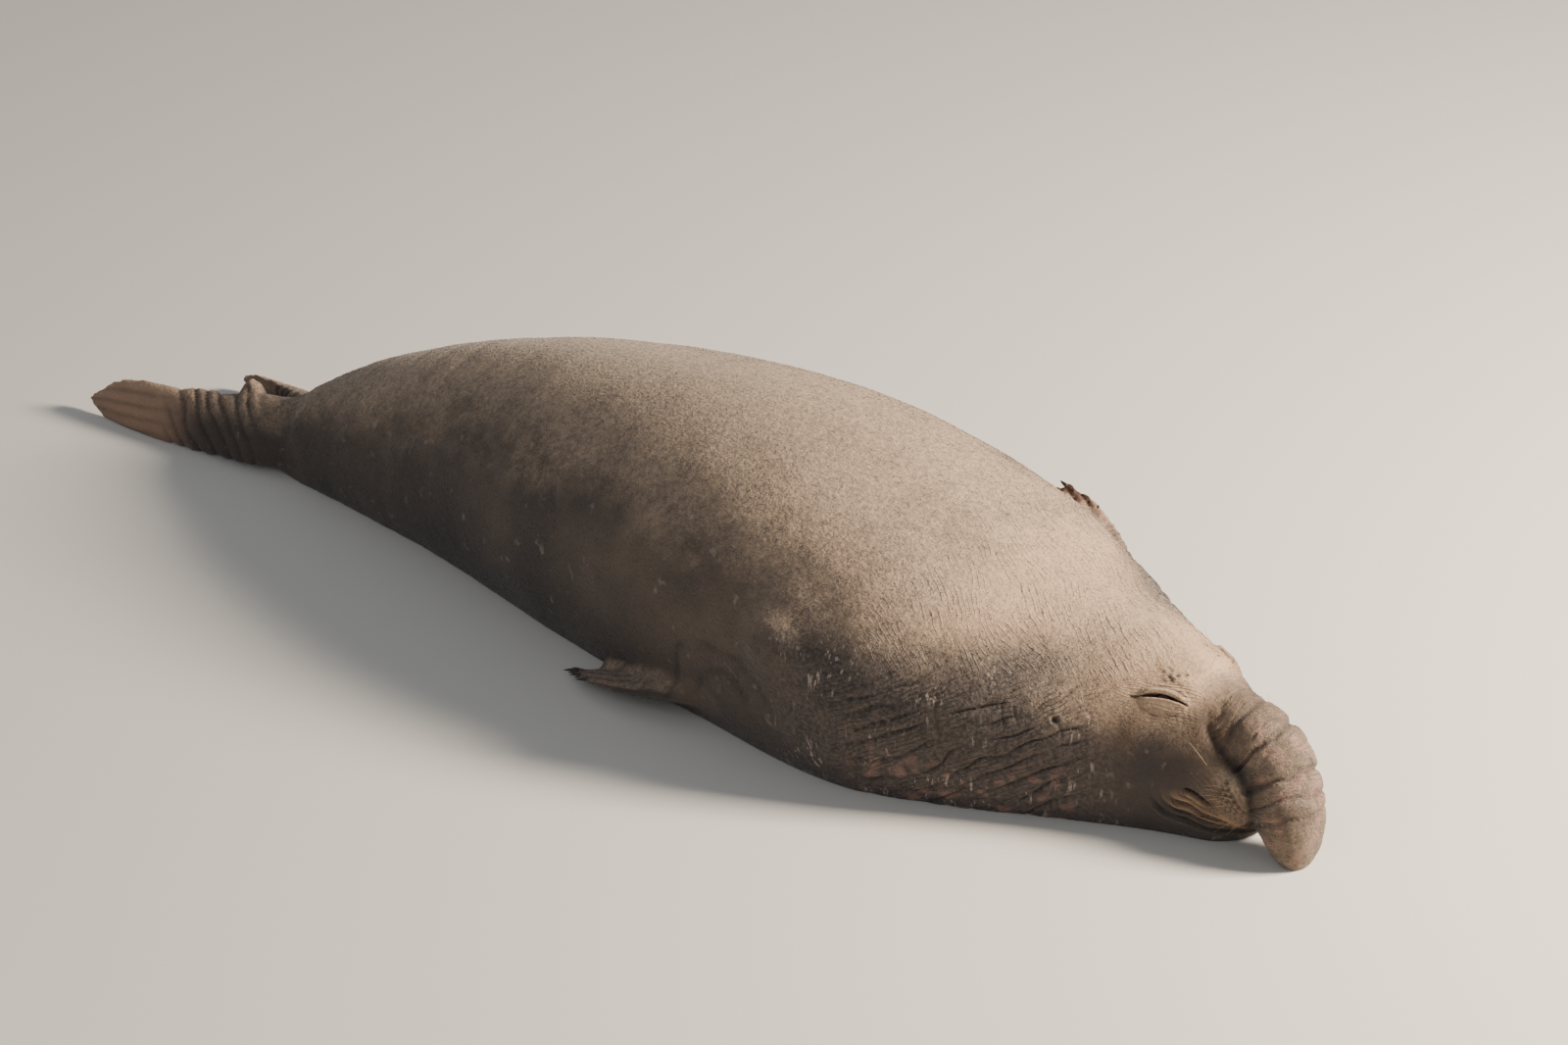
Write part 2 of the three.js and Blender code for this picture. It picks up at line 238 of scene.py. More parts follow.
def unit(vectors):
    return vectors / np.maximum(np.linalg.norm(vectors, axis=-1, keepdims=True), 1e-9)


def dot(a, b):
    return np.sum(a * b, axis=-1)


def ease(value, low, high):
    """0 below low, 1 above high, and a smooth rise between."""
    t = np.clip((value - low) / (high - low), 0, 1)
    return t * t * (3 - 2 * t)


def band(value, low, high, soft):
    """1 from low to high, falling to 0 over a soft edge on both sides."""
    return ease(value, low - soft, low) * (1 - ease(value, high, high + soft))


def bell(distance, breadth):
    return np.exp(-((distance / breadth) ** 2))


def field(points, size, seed):
    """Smooth noise from about -1 to 1, with lumps about as large as size."""
    shift = Vector((7.3, 3.1, 5.7)) * seed
    return np.array([noise.noise(Vector(p) + shift) for p in points / size])


def to_scene(points):
    """Turns a table's millimetres into the scene's metres."""
    return (points - ORIGIN) * MM


def to_table(points):
    return points / MM + ORIGIN


def follow(rows, place):
    """Where a spline through the rows of a table passes at each place along its first column."""
    table = np.array(rows, dtype=float)
    place = np.atleast_1d(np.asarray(place, dtype=float))
    i = np.clip(np.searchsorted(table[:, 0], place) - 1, 0, len(table) - 2)
    before = table[np.maximum(i - 1, 0)]
    a = table[i]
    b = table[i + 1]
    after = table[np.minimum(i + 2, len(table) - 1)]
    span = (b - a)[:, :1]
    s = (place[:, None] - a[:, :1]) / span
    leaving = (b - before) / (b - before)[:, :1] * span
    arriving = (after - a) / (after - a)[:, :1] * span
    value = (2 * s**3 - 3 * s**2 + 1) * a + (s**3 - 2 * s**2 + s) * leaving
    value += (3 * s**2 - 2 * s**3) * b + (s**3 - s**2) * arriving
    return value[:, 1:]


def opening(share, start, end):
    """How far a form with rounded ends has opened, from 0 to 1, at each share of its length."""
    left = 1 - np.minimum(1, share / start)
    right = 1 - np.minimum(1, (1 - share) / end)
    return np.sqrt(np.maximum(0, 1 - np.maximum(left, right) ** 2))


def trunk_points(x, around, opened=1.0, extra=0.0):
    """Points of the trunk's skin at each x and angle from the back's ridge, grown outwards by extra."""
    side, half, top, belt, keel, crown = follow(TRUNK, x).T
    up = np.cos(around)
    out = np.sin(around)
    bend = np.where(up > 0, crown, KEEL_BEND)
    reach = np.where(up > 0, top - belt, belt + keel)
    middle = 0.35 * top
    y = side + (half + extra) * opened * np.sign(out) * np.abs(out) ** bend
    z = middle + (belt - middle + (reach + extra) * up) * opened
    return np.stack((x, y, z), axis=1)


def trunk_place(share, around):
    first = TRUNK[0][0] + COAT_DEPTH
    last = TRUNK[-1][0] - COAT_DEPTH
    opened = opening(share, TAIL_CAP, MUZZLE_CAP)
    return trunk_points(first + share * (last - first), around, opened, -COAT_DEPTH)


def limb_frame(rows, share):
    """A limb's middle line at each share, its three directions, and its half width and half thickness."""
    step = 0.01
    row = follow(rows, share)
    ahead = follow(rows, np.minimum(1, share + step))[:, :3]
    behind = follow(rows, np.maximum(0, share - step))[:, :3]
    forward = unit(ahead - behind)
    across = np.zeros_like(forward)
    across[:, 1] = np.sign(forward[:, 0])
    across = unit(across - forward * dot(forward, across)[:, None])
    bank = np.radians(row[:, 5:6])
    across = across * np.cos(bank) + np.cross(forward, across) * np.sin(bank)
    up = np.cross(forward, across)
    return row[:, :3], forward, across, up, row[:, 3], row[:, 4]


def limb_points(rows, start, end, share, around):
    at, _, across, up, wide, thick = limb_frame(rows, share)
    opened = opening(share, start, end)
    sideways = (wide * opened * np.sin(around))[:, None]
    upwards = (np.hypot(thick, BLADE) * opened * np.cos(around))[:, None]
    return at + across * sideways + up * upwards


def spot(x, z, side):
    """A place on the trunk at x and height z, on side 1 (left) or -1, and the ways forward and out."""
    top, belt = follow(TRUNK, x)[0, 2:4]
    around = side * math.acos(max(-1, min(1, (z - belt) / (top - belt))))
    at, ahead = trunk_points(np.array((x, x + 10.0)), np.full(2, around))
    turned = trunk_points(np.array((float(x),)), np.array((around + 0.05,)))[0]
    forward = unit(ahead - at)
    return at, forward, unit(np.cross(forward, turned - at))


def loft(bm, rings, sides, place):
    """Adds a closed surface on a sphere's grid. place(share, around) gives its points in millimetres."""
    made = bmesh.ops.create_uvsphere(bm, u_segments=sides, v_segments=rings, radius=1)["verts"]
    ball = np.array([vert.co for vert in made])
    even = np.arccos(np.clip(ball[:, 2], -1, 1)) / math.pi
    around = np.arctan2(ball[:, 0], ball[:, 1])
    share = (even + (1 - np.cos(math.pi * even)) / 2) / 2
    for vert, point in zip(made, to_scene(place(share, around))):
        vert.co = point
    return made


def lump(bm, at, forward, out, size, sunk=0.0):
    """Adds an oval lump, its long axis along forward and its depth along out."""
    across = unit(np.cross(out, forward))
    along = np.cross(across, out)
    centre = to_scene(at - out * sunk)
    turn = Matrix.Identity(4)
    for column, (way, reach) in enumerate(zip((along, across, out), size)):
        turn.col[column] = (*(way * reach * MM), 0)
    turn.col[3] = (*centre, 1)
    bmesh.ops.create_uvsphere(bm, u_segments=36, v_segments=24, radius=1, matrix=turn)


def place_of(rows, start, end):
    return lambda share, around: limb_points(rows, start, end, share, around)


def toe_rows(x, y, z, wide):
    return (
        (0, x + 25, y + 10, z - TOE_ROOT, wide * 1.2, wide, 0),
        (0.6, x + 8, y + 4, z - TOE_ROOT * 0.4, wide, wide * 0.8, 0),
        (1, x, y, z, wide * 0.8, wide * 0.65, 0),
    )


def new_object(name, bm):
    """Turns a bmesh into a linked object at the origin, with smooth faces."""
    bmesh.ops.recalc_face_normals(bm, faces=bm.faces)
    mesh = bpy.data.meshes.new(name)
    bm.to_mesh(mesh)
    bm.free()
    mesh.shade_smooth()
    made = bpy.data.objects.new(name, mesh)
    bpy.context.scene.collection.objects.link(made)
    return made


def fused_body():
    """All of the animal's forms as one closed, even mesh, cut a little under the ground."""
    bm = bmesh.new()
    loft(bm, TRUNK_RINGS, TRUNK_SIDES, trunk_place)
    for rows, rings, sides, start, end in LIMBS.values():
        loft(bm, rings, sides, place_of(rows, start, end))
    for toe in TOES:
        loft(bm, TOE_RINGS, TOE_SIDES, place_of(toe_rows(*toe), 0.1, 0.35))
    for side in FLANKS.values():
        lump(bm, *spot(SHOULDER_X, SHOULDER_Z, side), SHOULDER_SIZE, SHOULDER_SUNK)
        lump(bm, *spot(BROW_X, BROW_Z, side), BROW_SIZE, BROW_SUNK)
        middle = follow(TRUNK, PAD_X)[0, 0]
        pad = np.array((PAD_X, middle + side * PAD_APART, PAD_Z))
        lump(bm, pad, np.array((1, 0, -PAD_DROOP)), np.array((0.0, side, 0.0)), PAD_SIZE)
    rough = new_object("rough", bm)
    remesh = rough.modifiers.new("Even", "REMESH")
    remesh.mode = "VOXEL"
    remesh.voxel_size = VOXEL
    even = bpy.data.meshes.new_from_object(rough.evaluated_get(bpy.context.evaluated_depsgraph_get()))
    bm = bmesh.new()
    bm.from_mesh(even)
    bpy.data.objects.remove(rough)
    bpy.data.meshes.remove(even)
    everything = bm.verts[:] + bm.edges[:] + bm.faces[:]
    under = (0, 0, -VOXEL)
    bmesh.ops.bisect_plane(bm, geom=everything, plane_co=under, plane_no=(0, 0, -1), clear_outer=True)
    return bm


def positions(bm):
    return to_table(np.array([vert.co for vert in bm.verts]))


def even_out(bm, verts, times):
    """Draws each point towards the middle of its neighbours."""
    for _ in range(times):
        bmesh.ops.smooth_vert(bm, verts=verts, factor=0.5, use_axis_x=True, use_axis_y=True, use_axis_z=True)


def halve(bm, chosen, smoothing):
    """Halves the faces whose middles are chosen in table coordinates, then evens their points out."""
    middles = to_table(np.array([face.calc_center_median() for face in bm.faces]))
    edges = {edge for face, wanted in zip(bm.faces, chosen(middles)) if wanted for edge in face.edges}
    bmesh.ops.subdivide_edges(bm, edges=list(edges), cuts=1, use_grid_fill=True)
    wanted = chosen(positions(bm))
    verts = [vert for vert, chose in zip(bm.verts, wanted) if chose and not vert.is_boundary]
    even_out(bm, verts, smoothing)


def near_limb(points, name, reach):
    """Whether each point lies within reach of a limb's middle line."""
    rows = LIMBS[name][0]
    line = follow(rows, np.linspace(0, 1, 24))[:, :3]
    gaps = np.linalg.norm(points[:, None, :] - line[None], axis=2)
    return gaps.min(axis=1) < reach


def eye_offsets(points, side):
    """Each point's place from an eye: forward along the slit, up across it, and out."""
    at, forward, out = spot(EYE_X, EYE_Z, side)
    up = -side * np.cross(out, forward)
    tilt = math.radians(EYE_TILT)
    from_eye = points - at
    a, b = from_eye @ forward, from_eye @ up
    along = a * math.cos(tilt) + b * math.sin(tilt)
    over = b * math.cos(tilt) - a * math.sin(tilt)
    return along, over, from_eye @ out


def limb_places(points):
    """For each limb, each point's share, its place across and through, and how far it belongs to the limb."""
    found = {}
    for name, (rows, *_) in LIMBS.items():
        share, lateral, rise, belongs = np.zeros((4, len(points)))
        line = np.linspace(0, 1, 240)
        at, _, across, up, wide, thick = limb_frame(rows, line)
        swollen = np.hypot(thick, BLADE)
        inside = (points > at.min(axis=0) - LIMB_REACH) & (points < at.max(axis=0) + LIMB_REACH)
        near = np.where(np.all(inside, axis=1))[0]
        for some in np.array_split(near, max(1, len(near) // 4000)):
            k = np.linalg.norm(points[some][:, None, :] - at[None], axis=2).argmin(axis=1)
            away = points[some] - at[k]
            share[some] = line[k]
            lateral[some] = dot(away, across[k]) / wide[k]
            rise[some] = dot(away, up[k]) / swollen[k]
            belongs[some] = 1 - ease(np.hypot(lateral[some], rise[some]), 1.1, 1.45)
        found[name] = (share, lateral, rise, belongs)
    return found


def thin_blades(points, limbs):
    """Presses each limb from the thickness it had in the remesh to its own."""
    moved = points.copy()
    for name, (share, lateral, rise, belongs) in limbs.items():
        on = belongs > 0
        _, _, _, up, _, thick = limb_frame(LIMBS[name][0], share[on])
        press = (np.maximum(thick - COAT_DEPTH, 6) - np.hypot(thick, BLADE)) * rise[on] * belongs[on]
        moved[on] += up * press[:, None]
    return moved


def ripple(line, breadth):
    """Troughs at every whole number of line, each with the given breadth as a share of their spacing."""
    return bell(line - np.round(line), breadth)


def deepen(marks, name, value):
    """Raises a mark to a value wherever it is lower."""
    marks[name] = np.maximum(marks[name], value)


def draw_lines(marks, here, line):
    """Marks where fine creases run, how strong they are, and the value whose whole numbers they follow."""
    marks["line"] = np.where(here > marks["fine"], line, marks["line"])
    deepen(marks, "fine", here)


def swell_body(points, marks, limbs):
    """Slow swells of blubber, the muscle that stands out over the right shoulder, and rolls over the hips."""
    body = band(points[:, 0], -1700, 1250, 200)
    swell = 5 * field(points, 430, 1) + 3 * field(points, 150, 2)
    rolls = ripple(points[:, 0] / 120 + 0.4 * field(points, 300, 26), 0.12) * ease(-points[:, 0], 500, 1200)
    gap = np.linalg.norm(points - spot(SHOULDER_X, SHOULDER_Z, -1)[0], axis=1)
    shoulder = 8 * bell(gap, 115) - 5 * bell(gap - 185, 50)
    return body * (swell - 5) - 2 * rolls * body + shoulder


def fold_neck(points, marks, limbs):
    """Creases that climb from the chest to the back of the head, in the thick scarred shield of the neck."""
    x, z = points[:, 0], points[:, 2]
    line = (z - 0.62 * (x - 1000)) / 54 + 1.2 * field(points, 240, 3) + 0.3 * field(points, 60, 4)
    here = band(x, 790, 1240, 160) * band(z, -40, 330, 90)
    broken = ease(field(points * (0.5, 1, 1.2), 90, 5), -0.25, 0.3)
    trough = ripple(line, 0.07) * broken
    puff = np.sin(math.pi * (line - np.round(line))) ** 2
    fine = (z - 0.45 * (x - 1000)) / 21 + 1.6 * field(points, 150, 6)
    wrinkle = ripple(fine, 0.13) * ease(field(points, 60, 7), -0.1, 0.4)
    cross = (x + 0.5 * z) / 58 + 1.5 * field(points, 130, 27)
    net = ripple(cross, 0.07) * ease(field(points, 70, 28), 0.0, 0.4)
    deepen(marks, "crease", here * np.maximum(0.85 * trough, 0.4 * net))
    marks["shield"] = band(x, 640, 1300, 200) * band(z, -40, 380, 110)
    draw_lines(marks, 0.8 * here, (z - 0.55 * (x - 1000)) / 14 + 1.5 * field(points, 150, 36))
    return here * (2.5 * puff - 8 * trough - 2 * wrinkle - 2.5 * net)


def wrinkle_nape(points, marks, limbs):
    """Shallow folds over the top of the neck, where its skin is pushed together."""
    x, z = points[:, 0], points[:, 2]
    line = (points[:, 1] + 0.5 * (x - 1000)) / 46 + 1.2 * field(points, 200, 8)
    trough = ripple(line, 0.14) * ease(field(points, 110, 29), -0.2, 0.3)
    here = band(x, 850, 1330, 160) * ease(z, 330, 430)
    deepen(marks, "crease", 0.2 * trough * here)
    draw_lines(marks, 0.35 * here, line * 2.6)
    return -2.6 * trough * here


def fold_armpits(points, marks, limbs):
    """Arched folds where the fore flippers leave the body."""
    total = np.zeros(len(points))
    for name in FORE_LIMBS:
        root = np.array(LIMBS[name][0][0][1:4], dtype=float)
        away = points - root
        gap = np.linalg.norm(away * (1, 0.6, 1), axis=1) + 40 * field(points, 150, 9)
        above = ease(away[:, 2] - 0.25 * away[:, 0], -60, 60) * ease(field(points, 100, 30), -0.5, 0)
        for radius, deep in ((130, 7), (205, 3)):
            trough = bell(gap - radius, 10) * above
            total -= deep * trough
            total += 0.6 * deep * bell(gap - radius + 26, 18) * above
            deepen(marks, "crease", 0.6 * trough)
    return total


def groove_proboscis(points, marks, limbs):
    """Bulges and grooves across the proboscis, with small wrinkles on its inner side."""
    share, lateral, rise, belongs = limbs["proboscis"]
    inner = ease(-rise, -0.5, 0.8)
    wander = 0.018 * field(points, 55, 10) + 0.02 * lateral
    total = np.zeros(len(points))
    for place, deep, breadth in NOSE_TROUGHS:
        trough = bell(share + wander - place, breadth) * (0.7 + 0.3 * inner)
        total -= deep * trough
        deepen(marks, "crease", 0.6 * trough * belongs)
    fine = ripple(share * 34 + 1.4 * field(points, 45, 11), 0.16) * inner * ease(share, 0.3, 0.5)
    lumps = ripple(share * 15 + 0.9 * field(points, 40, 31), 0.2) * (1 - inner) * band(share, 0.12, 0.5, 0.1)
    marks["bare"] = belongs * ease(share, 0.12, 0.4)
    rosy = ease(field(points, 38, 24), 0.0, 0.5)
    deepen(marks, "flush", 0.6 * belongs * ease(share, 0.3, 0.5) * rosy)
    notch = bell(share - 0.42, 0.03) * bell(rise + 0.6, 0.4) * bell(lateral + 0.75, 0.35)
    edge = bell(np.hypot(lateral, rise) - 1.17, 0.1) * ease(-rise, -0.6, 0.1) * ease(share, 0.08, 0.25)
    deepen(marks, "crease", 0.8 * edge)
    deepen(marks, "crease", notch * belongs)
    # Darker inner, lower side of the proboscis: partly its own darker brown, partly painted shade.
    deepen(marks, "dark", 0.85 * belongs * inner)
    deepen(marks, "stain", 0.7 * belongs * bell(share - 0.3, 0.13))
    draw_lines(marks, belongs * (0.35 + 0.6 * inner), share * 52 + 1.3 * field(points, 60, 37))
    grain = 2.4 * field(points, 80, 12) + 1.4 * field(points, 24, 25)
    return belongs * (total - 2 * fine - 2.6 * lumps - 9 * notch + grain) - 11 * edge


def fold_mouth(points, marks, limbs):
    """The line between the lips and the folds that curl round the corner of the mouth."""
    x, z = points[:, 0], points[:, 2]
    head = ease(x, 1400, 1470) * (1 - limbs["proboscis"][3])
    height = follow(MOUTH, np.clip(x, MOUTH[0][0], MOUTH[-1][0]))[:, 0]
    spread = 0.45 + 0.55 * ease(-x, -1760, -CORNER_X)
    ahead = (height - z) / spread
    behind = np.hypot(x - CORNER_X, z - CORNER_Z)
    gap = np.where(x > CORNER_X, ahead, behind)
    behind_fades = ease(CORNER_Z + 4 - z, 0, 50) * ease(x, CORNER_X - 120, CORNER_X - 50)
    below = np.where(x > CORNER_X, 1, behind_fades) * head * ease(field(points, 75, 34), -0.75, -0.1)
    total = np.zeros(len(points))
    for place, deep, breadth in ((0, 20, 5), (20, 10, 4), (43, 15, 5), (63, 8, 4), (88, 10, 7)):
        warp = 8 * field(points, 70, 13 + place)
        trough = bell(gap + warp - place, breadth) * below
        total -= deep * trough
        total += 0.5 * deep * bell(gap + warp - place - 10, 7) * below
        deepen(marks, "crease", min(1, deep / 10) * trough)
    draw_lines(marks, below * band(gap, 0, 100, 18), gap / 8.5 + 0.8 * field(points, 60, 38))
    # Painted highlights on the ridges between the folds, in the pale tan of the lips.
    ochre_and_highlight = (band(gap, 5, 17, 5) + band(gap, 24, 39, 6) + 0.6 * band(gap, 47, 60, 6)) * below
    deepen(marks, "pale", 0.95 * ochre_and_highlight)
    deepen(marks, "stain", 0.3 * ochre_and_highlight)
    pad = np.array((PAD_X, follow(TRUNK, PAD_X)[0, 0], PAD_Z))
    away = points - pad
    on_pad = bell(np.hypot(away[:, 0] + 0.3 * away[:, 2], away[:, 2]), 75) * head
    streak = ripple((away[:, 2] + 0.8 * away[:, 0]) / 15 + 0.5 * field(points, 40, 32), 0.2)
    # Paler whisker pads: partly their own pale tan, partly painted light on their lumps.
    deepen(marks, "pale", 0.55 * on_pad * (1 - streak))
    return total - 1.8 * streak * on_pad


def shape_lids(points, marks, limbs):
    """Heavy lids, nearly shut, with wrinkles above, below and behind them."""
    total = np.zeros(len(points))
    for side in FLANKS.values():
        a, b, depth = eye_offsets(points, side)
        near = ease(-np.abs(depth), -80, -55)
        along = np.clip(a / SLIT_HALF, -1.3, 1.15)
        middle = 9 * (1 - along**2)
        opened = SLIT_OPEN * np.sqrt(np.abs(1 - along**2)) * (0.85 - 0.35 * along)
        half = np.where(np.abs(along) < 1, opened, -9)
        rim = np.hypot(a / 68, (b - 3) / 42)
        bulge = 9 * np.sqrt(np.maximum(0, 1 - rim**2))
        inside = ease(half - np.abs(b - middle), -1.6, 0.6)
        over = b - middle - np.maximum(half, 0)
        under = middle - np.maximum(half, 0) - b
        near_slit = ease(58 - np.abs(a), 0, 16)
        lips = 6.5 * bell(over - 8, 8) + 2.5 * bell(under - 5, 4)
        hood = bell(over - 18, 3.5) * near_slit * ease(field(points, 40, 39), -0.7, 0.1)
        tail = bell(b - middle, 2.6) * (band(-a, 46, 86, 12) + band(a, 48, 60, 8))
        wrinkles = np.zeros(len(points))
        for height in (31, -21, -34):
            arc = b - height - 6 * (1 - (a / 60) ** 2) - 8 * field(points, 34, 33 + height)
            wrinkles += bell(arc, 3) * ease(62 - np.abs(a), 0, 30)
        around = 0.8 * near * bell(rim - 1, 0.6) * ease(rim, 0.3, 0.6)
        draw_lines(marks, around, b / 8 + 0.8 * field(points, 40, 40))
        total += near * (bulge + lips * near_slit - 20 * inside - 6 * tail - 3.5 * hood - wrinkles)
        # Painted shade in the slit between the lids and along the lines at its corners.
        line = np.maximum(inside, 0.9 * tail)
        deepen(marks, "dark", near * line)
        deepen(marks, "crease", near * np.max((line, 0.6 * hood, 0.2 * wrinkles), axis=0))
        rosy = bell(under - 3.5, 3) * ease(46 - np.abs(a), 0, 10)
        deepen(marks, "flush", near * rosy)
        # Paler skin around and above each eye: partly its own tan, partly painted light.
        deepen(marks, "pale", near * bell(np.hypot(a / 150, (b - 40) / 80), 1))
        deepen(marks, "stain", 0.8 * bell(np.hypot((a + 72) / 26, (b + 108) / 50), 1))
        deepen(marks, "pale", 0.6 * bell(np.hypot((a + 130) / 42, (b + 35) / 75), 1))
    return total


def pit(points, at, radius, deep, marks):
    """A round hole pressed into the skin."""
    gap = np.linalg.norm(points - at, axis=1)
    # Painted shade in the hole.
    deepen(marks, "crease", bell(gap, radius))
    return 0.15 * deep * bell(gap - 1.8 * radius, 0.7 * radius) - deep * bell(gap, radius)


def press_holes(points, marks, limbs):
    """The ear holes, the nostrils and the roots of the brow hairs and whiskers."""
    total = np.zeros(len(points))
    for side in FLANKS.values():
        total += pit(points, spot(EAR_X, EAR_Z, side)[0], 8, 13, marks)
        at, _, across, up, _, thick = limb_frame(PROBOSCIS, np.array((NOSTRIL_SHARE,)))
        mouth = at[0] + up[0] * thick[0] * NOSTRIL_RISE + across[0] * side * NOSTRIL_APART
        total += pit(points, mouth, 13, 22, marks)
    for root in brow_roots() + pad_roots():
        total += pit(points, root[0], 5.5, 4, marks)
    return total


def groove_flippers(points, marks, limbs):
    """Fingers under the skin of the fore flippers, and pleats in the folded hind ones."""
    total = np.zeros(len(points))
    for name in FORE_LIMBS:
        share, lateral, _, belongs = limbs[name]
        line = (lateral + 1) * 2.5
        trough = bell(line - np.round(line), 0.16) * ease(share, 0.35, 0.65)
        knuckle = bell(np.abs((share * 14 + 0.5 * lateral) % 1 - 0.5), 0.14) * ease(share, 0.2, 0.4)
        total -= belongs * (4.5 * trough + 1.6 * knuckle)
        worn = 0.3 if name == "right_fore" else 0.8
        deepen(marks, "flush", worn * belongs * ease(share, 0.5, 0.8) * (1 - trough))
        deepen(marks, "dark", (0.9 - worn) * belongs * ease(share, 0.15, 0.5))
        deepen(marks, "crease", 0.5 * trough * belongs)
    for name in HIND_LIMBS:
        share, lateral, _, belongs = limbs[name]
        slant = share * 16 + 1.1 * lateral + 0.5 * field(points, 120, 14)
        pleat = bell(slant - np.round(slant), 0.16) * band(share, 0.3, 0.58, 0.12)
        ray = (lateral + 1) * 2.2 + 0.2 * field(points, 100, 15)
        trough = bell(ray - np.round(ray), 0.17) * ease(share, 0.5, 0.75)
        total -= belongs * (7 * pleat + 2.5 * trough)
        deepen(marks, "flush", 0.3 * belongs * ease(share, 0.35, 0.8))
        # Paler grey-pink blades of the hind flippers: partly their own colour, partly painted light.
        deepen(marks, "pale", 0.55 * belongs * ease(share, 0.5, 0.7))
        deepen(marks, "dark", 0.45 * belongs * (1 - ease(share, 0.45, 0.65)))
        deepen(marks, "crease", belongs * np.maximum(0.7 * pleat, 0.4 * trough))
    return total


def colour_body(points, normals, marks, limbs):
    """Marks the pale fur on what faces up, partly dried and dusty and partly painted light, the flanks darker
    low down, partly their own brown and partly painted shade, and the pale head, partly painted light.
    """
    x, z = points[:, 0], points[:, 2]
    patchy = 0.17 * field(points, 210, 16) + 0.12 * field(points, 60, 17) + 0.06 * field(points, 22, 18)
    feet = np.max([limbs[name][3] for name in FORE_LIMBS + HIND_LIMBS], axis=0)
    nose = limbs["proboscis"][3]
    # Paler fur on what faces up: partly dried, dusty fur, partly painted light.
    marks["dry_fur_and_painted_light"] = ease(normals[:, 2] + patchy, 0.35, 1.05) * (1 - 0.4 * feet) * (1 - 0.8 * nose)
    # Paler forehead: partly its own pale tan, partly painted light.
    forehead = ease(x, 1180, 1400) * ease(z, 250, 400) * (1 - nose)
    deepen(marks, "pale", 0.9 * forehead)
    # Painted shade low on the flanks, over their own darker brown: darker towards the ground on both sides.
    low = ease(400 - z + 90 * field(points, 200, 19), 0, 330)
    deepen(marks, "dark", 0.62 * low * (1 - feet) * (1 - nose))
    blurred = 0.35 * field(points, 70, 41) + 0.2 * field(points, 24, 42)
    # The cheeks darker: partly their own dark skin, partly painted shade. The lips and pads keep their pale
    # tan and painted highlights.
    cheek = bell(np.hypot((x - 1480) / 150, (z - 205) / 115) + blurred, 1) * (1 - nose)
    ochre_and_highlight = ease(marks["pale"], 0.5, 0.9) * (z < 190)
    marks["dark"] = np.maximum(marks["dark"] * (1 - ochre_and_highlight), 0.85 * cheek * (1 - ochre_and_highlight))
    # A painted shadow on the neck behind the head: darker, with less pale fur on top there.
    neck_painted_shadow = bell(np.hypot((x - 1100) / 130, (z - 385) / 75) + 0.3 * field(points, 90, 35), 1)
    deepen(marks, "dark", 0.75 * neck_painted_shadow)
    marks["dry_fur_and_painted_light"] *= 1 - 0.75 * neck_painted_shadow
    hump = np.linalg.norm(points - spot(SHOULDER_X, SHOULDER_Z, -1)[0], axis=1)
    marks["dry_fur_and_painted_light"] *= 1 - 0.6 * bell(hump, 120)
    # Paler top of the neck: painted light above the painted shadow behind the head.
    nape = band(x, 980, 1300, 170) * ease(z, 420, 500)
    deepen(marks, "pale", 0.7 * nape)
    chest = band(x, 850, 1250, 120) * ease(230 - z, 0, 160)
    deepen(marks, "flush", 0.6 * chest * ease(field(points, 32, 20), 0.1, 0.5))
    # Darker brown at the root of the proboscis: partly its own dark brown skin, partly painted shade in the
    # hollow there.
    root = bell(np.hypot((x - 1590) / 75, (z - 305) / 62) + 0.8 * blurred, 1)
    marks["pale"] *= 1 - 0.9 * root
    marks["dry_fur_and_painted_light"] *= 1 - 0.9 * root
    deepen(marks, "stain", 0.9 * root)
    deepen(marks, "dark", 0.8 * root)


def brow_roots():
    """Where the stiff hairs over each eye are rooted, and the ways forward and out there."""
    roots = []
    for side in FLANKS.values():
        for i in range(7):
            x = 1428 + 8 * i - 14 * (i % 2)
            z = 419 - 6 * (i % 3) - 1.5 * i
            roots.append(spot(x, z, side))
    return roots


def pad_roots():
    """Where the whiskers are rooted, in curved rows on each side of the muzzle."""
    roots = []
    middle = follow(TRUNK, PAD_X)[0, 0]
    for side in FLANKS.values():
        out = np.array((0.0, side, 0.0))
        forward = unit(np.array((1, 0, -PAD_DROOP)))
        up = np.array((PAD_DROOP, 0, 1)) / math.hypot(1, PAD_DROOP)
        centre = np.array((PAD_X, middle + side * PAD_APART, PAD_Z))
        for row in range(5):
            for i in range(6):
                a = -0.62 + 0.21 * i + 0.05 * row
                b = 0.52 - 0.24 * row - 0.05 * i
                c = math.sqrt(max(0.05, 1 - a * a - b * b))
                at = centre + forward * a * PAD_SIZE[0] + up * b * PAD_SIZE[1] + out * c * (PAD_SIZE[2] - 4)
                roots.append((at, forward, unit(out * c + forward * a * 0.6 + up * b * 0.6)))
    return roots


